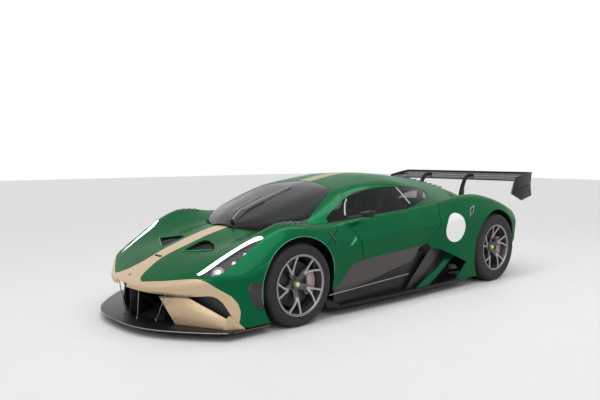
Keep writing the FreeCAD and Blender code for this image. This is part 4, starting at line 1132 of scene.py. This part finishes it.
# Cabin: seats, steering wheel and wiper
def seat(s):
    """The parts of one seat: side outline, place of its middle and half width in metres."""
    middle = s * 0.33
    parts = []
    for name, outline, places, half, tone, edge in (
            ("seat_base", [(740, 190), (705, 240), (735, 262), (900, 250), (1120, 236), (1190, 262), (1290, 450),
                           (1400, 720), (1440, 900), (1475, 938), (1530, 940), (1552, 900), (1545, 780),
                           (1430, 420), (1300, 140), (820, 131)], (0,), 0.20, "cloth", 0.02),
            ("rest", [(1425, 770), (1455, 925), (1500, 955), (1535, 925), (1500, 770)], (0,), 0.14, "seat_green",
             0.015),
            ("bolster", [(1180, 262), (1230, 520), (1290, 640), (1330, 700), (1500, 700), (1330, 330)],
             (-0.205, 0.205), 0.012, "seat_green", 0.01),
            ("ear", [(1350, 800), (1360, 925), (1470, 960), (1530, 930), (1520, 800)], (-0.135, 0.135), 0.014,
             "seat_green", 0.012)):
        for x in places:
            parts.append(prism(name, by_station(outline), SIDE_VIEW, middle + x - half, middle + x + half, tone,
                               edge))
    for e in (-1, 1):
        path = pts(*[(s * 330 + e * x, station, z) for x, station, z in
                     ((60, 1440, 830), (70, 1330, 660), (50, 1200, 420), (20, 1140, 290))])
        parts.append(tube("belt", path, 0.012, "black", 6, 4))
    return parts


seats = fit("seat_skins", seat(1) + seat(-1), "seats", False)
GRIP_RADIUS, GRIP_FLAT, GRIP_STEPS = 0.150, -0.11, 40
hoop = []
for k in range(GRIP_STEPS + 1):
    a = 2 * math.pi * k / GRIP_STEPS
    hoop.append((GRIP_RADIUS * math.cos(a), max(GRIP_RADIUS * math.sin(a), GRIP_FLAT), 0.0))
grip = [tube("ring", hoop, 0.013, "trim", 10),
        prism("bar", [(-0.14, -0.022), (0.14, -0.022), (0.14, 0.022), (-0.14, 0.022)], PLAN, -0.006, 0.006,
              "carbon", 0.002),
        prism("boss", [(-0.05, -0.045), (0.05, -0.045), (0.05, 0.045), (-0.05, 0.045)], PLAN, -0.012, 0.016,
              "black", 0.004)]
steer = join("steering_skin", grip)
steer.data.transform(Matrix.Translation(pt(330, 740, 600)) @ Matrix.Rotation(math.radians(70), 4, "X"))
column = tube("column", pts((330, 730, 597), (330, 535, 645)), 0.018, "black", 12)
fit("steering_wheel_skin", [steer, column], "steering_wheel", False)
# Tubes of the wiper: name, points (x, station, height over the glass), radius, finish, sides
wiper = [tube(name, [on_top(cabin_guide, x, s, push) for x, s, push in path], radius, tone, sides)
         for name, path, radius, tone, sides in (
             ("wiper_arm", ((96, -62, 0.02), (30, 77, 0.03), (32, 330, 0.022)), 0.0055, "alloy", 6),
             ("wiper_blade", ((24, 120, 0.012), (30, 400, 0.012), (36, 640, 0.012)), 0.005, "alloy", 6),
             ("wiper_link", ((-90, 70, 0.008), (-112, 250, 0.008), (-140, 430, 0.008)), 0.0035, "alloy", 6),
             ("wiper_foot", ((96, -62, 0.0), (96, -62, 0.03)), 0.014, "black", 10))]
fit("wiper_skin", wiper, None, False)


# Patches and small forms laid on the body
DECAL_STEPS, DECAL_WALL = 36, 0.0004


def decal(name, outline, far_x, material, push):
    """A thin patch on both sides of the body, from an outline seen from the side."""
    bm = bmesh.new()
    low = [min(p[i] for p in outline) for i in (0, 1)]
    high = [max(p[i] for p in outline) for i in (0, 1)]
    grid = []
    for i in range(DECAL_STEPS + 1):
        y = low[0] + (high[0] - low[0]) * i / DECAL_STEPS
        row = []
        for j in range(DECAL_STEPS + 1):
            z = low[1] + (high[1] - low[1]) * j / DECAL_STEPS
            hit = guide.tree.ray_cast(Vector((2.0, y, z)), Vector((-1, 0, 0)))
            row.append(bm.verts.new((hit[0].x if hit[0] else far_x, y, z)))
        grid.append(row)
    for near, far in zip(grid, grid[1:]):
        for j in range(DECAL_STEPS):
            bm.faces.new((near[j], far[j], far[j + 1], near[j + 1]))
    bm.normal_update()
    scribe(bm, outline, SIDE_VIEW)
    keep = [f for f in bm.faces if within(flat(f.calc_center_median(), SIDE_VIEW), outline)]
    bm.faces.index_update()
    shown(shell(name, bm, keep, guide, DECAL_WALL, 0.0, True, (material,), lift=push), "body", None)


decal("roundel", arc_outline(yy(1966), 0.621, 0.141, 60), 0.95, "white", 0.0006)
seam = tube("seam", [on_side(guide, s, z) for s, z in ((-680, 398), (-594, 425), (-486, 443), (-380, 447))], 0.0014,
            "deep", 6, 4)
# Lighter green tubes along the rear edge of the fender slit and round the front arch: real edges, coloured with a
# painted highlight
slit_line = [on_side(guide, s, z, 0.001) for s, z in ((318, 712), (346, 660), (375, 606), (358, 597))]
slit_highlight = tube("slit_highlight", slit_line, 0.002, "highlight_paint", 6)
LIP_RADIUS, LIP_MIDDLE = 377, 325
turns = [math.radians(a) for a in range(8, 196, 6)]
arch_highlight = tube("arch_highlight", [on_side(guide, LIP_RADIUS * math.cos(a), LIP_MIDDLE + LIP_RADIUS * math.sin(a))
                             for a in turns], 0.0028, "highlight_paint", 6)
gills = [loft("gill", [[on_top(guide, x, s + ahead, push) for ahead, push in
                        ((0, -0.01), (8, 0.003), (30, 0.005), (34, -0.01))] for x in (716, 770, 830)], "black")
         for s in (-120, -58, 4, 66)]
fit("front_clam_marks", [seam, slit_highlight, arch_highlight] + gills, None)
for name, corners, far_x, material, push, slot in (
        ("fender_slit", [(292, 717), (318, 712), (375, 606), (358, 597)], 0.92, "deep", 0.0006, "black_trim"),
        # The fender patch is a painted highlight, a lighter green shape laid flat on the fender
        ("fender_highlight_patch", [(599, 655), (520, 584), (556, 583), (604, 625)], 0.92, "highlight_paint", 0.0006, "green_paint"),
        ("rear_marker", [(2177, 714), (2224, 797), (2304, 824), (2251, 755)], 0.94, "alloy", 0.0006, "black_trim"),
        ("rear_marker_lens", [(2196, 730), (2232, 790), (2282, 808), (2242, 757)], 0.94, "deep", 0.0014,
         "lamp_red")):
    decal(name, by_station(corners), far_x, material, push)
marks = [plate(name, [on_top(guide, x, s, 0.002) for x, s in corners], 0.003, "deep", 0) for name, corners in (
    ("stripe_slot", ((-58, -704), (-46, -722), (46, -722), (58, -704))),
    ("nose_slit", ((-5, -950), (-9, -968), (5, -968), (9, -950))))]
# Lighter green tubes along the front edge of the bonnet vents, a painted highlight on their lips
marks.append(tube("vent_highlight", [on_top(guide, x, s, 0.003) for x, s in ((168, -592), (300, -534), (434, -474))],
                  0.004, "highlight_paint", 6))
marks.append(flipped(marks[-1], "vent_highlight_r"))
fit("hood_marks", marks, None, False)
bars = [tube("window_bar", [on_side(cabin_guide, s, z, -0.001) for s, z in ends], 0.008, "alloy", 6)
        for ends in (((742, 938), (690, 900), (640, 850), (606, 812)), ((1424, 1018), (1440, 960), (1462, 870)))]
bars_left = join("window_bars_left", bars)
for side, obj in (("left", bars_left), ("right", flipped(bars_left, "window_bars_right"))):
    shown(obj, "door_" + side, None)
# Light alloy tubes along the edges of the wing planes and round the end plates, painted highlights on these carbon
# edges
highlight_lines = [tube("highlight_line", pts((-875, s, z), (875, s, z)), 0.0025, "alloy", 6)
              for s, z in ((3178, 1053), (3407, 1088), (3522, 1131))]
plate_rim = ((3160, 1074), (3090, 903), (3319, 820), (3545, 866), (3520, 995), (3545, 1130))
for x in (-887.5, 887.5):
    highlight_lines.append(tube("plate_highlight_line", pts(*[(x, s, z) for s, z in plate_rim]), 0.0022, "alloy", 6))
fit("wing_painted_highlights", highlight_lines, None, False)

# Plain metal and moulded pieces that keep their modelled shape
for name, nodes in (("carbon", ("floor", "diffuser")), ("trim", ("dashboard",)), ("mesh", ("tail_panel",)),
                    ("black", ("tub", "front_arms", "rear_arms", "roll_cage", "door_hinges")),
                    ("alloy", ("engine", "rear_uprights", "front_upright_left", "front_upright_right")),
                    ("caliper", ("front_caliper_left", "front_caliper_right", "rear_calipers")),
                    ("steel", ("tow_eye",))):
    for node in nodes:
        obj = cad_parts[node]
        if not obj.data.materials:
            obj.data.materials.append(M[name])
        for index in range(len(obj.data.materials)):
            obj.data.materials[index] = M[name]

# Floor, light and camera
bpy.ops.mesh.primitive_plane_add(size=60)
ground = bpy.context.object
ground.name = "studio_floor"
ground.data.materials.append(finish("studio_grey", (0.80, 0.80, 0.80), 0.6, grain=3.0, change=0.02, relief=0.0))


def lamp_at(name, place, aim, size, power):
    data = bpy.data.lights.new(name, "AREA")
    data.shape = "RECTANGLE"
    data.size, data.size_y = size
    data.energy = power
    obj = bpy.data.objects.new(name, data)
    obj.location = place
    obj.rotation_euler = (Vector(aim) - Vector(place)).to_track_quat("-Z", "Y").to_euler()
    bpy.context.scene.collection.objects.link(obj)


lamp_at("overhead", (0.5, 0.0, 4.5), (0, 0, 0.4), (5.5, 0.8), 60)
lamp_at("side", (6.0, 0.0, 2.4), (0, 0.3, 0.6), (7.0, 0.25), 30)
lamp_at("nose", (1.5, -7.0, 2.4), (0, -1.5, 0.5), (3.0, 0.2), 20)
sky_data = bpy.data.lights.new("soft_sky", "SUN")
sky_data.energy = 1.5
sky_data.angle = math.radians(60)
sky_light = bpy.data.objects.new("soft_sky", sky_data)
sky_light.rotation_euler = (math.radians(18), math.radians(22), 0)
bpy.context.scene.collection.objects.link(sky_light)

# The background is white where it is seen, and darker where it only lights the car
AROUND, BEHIND = 0.40, 1.0
world = bpy.data.worlds.new("studio")
bpy.context.scene.world = world
sky = Shader(world)
seen = sky.node("ShaderNodeLightPath", output="Is Camera Ray")
rays = seen.socket.node.outputs
for ray in ("Is Glossy Ray", "Is Transmission Ray"):
    seen = sky.math("MAXIMUM", seen, Value(sky, rays[ray]))
tones = [sky.node("ShaderNodeBackground", {}, {0: rgb(tone, tone, tone)}) for tone in (AROUND, BEHIND)]
sky.node("ShaderNodeOutputWorld", {}, {0: sky.node("ShaderNodeMixShader", {}, {0: seen, 1: tones[0], 2: tones[1]})})

camera = bpy.data.cameras.new("camera")
camera.lens = 36.43
camera.sensor_width = 36
eye = bpy.data.objects.new("camera", camera)
eye.location = (4.3996, -4.2008, 1.3150)
eye.rotation_euler = (math.radians(90 - 4.16), 0, math.radians(49.28))
bpy.context.scene.collection.objects.link(eye)
bpy.context.scene.camera = eye
bpy.context.scene.view_settings.view_transform = "Standard"
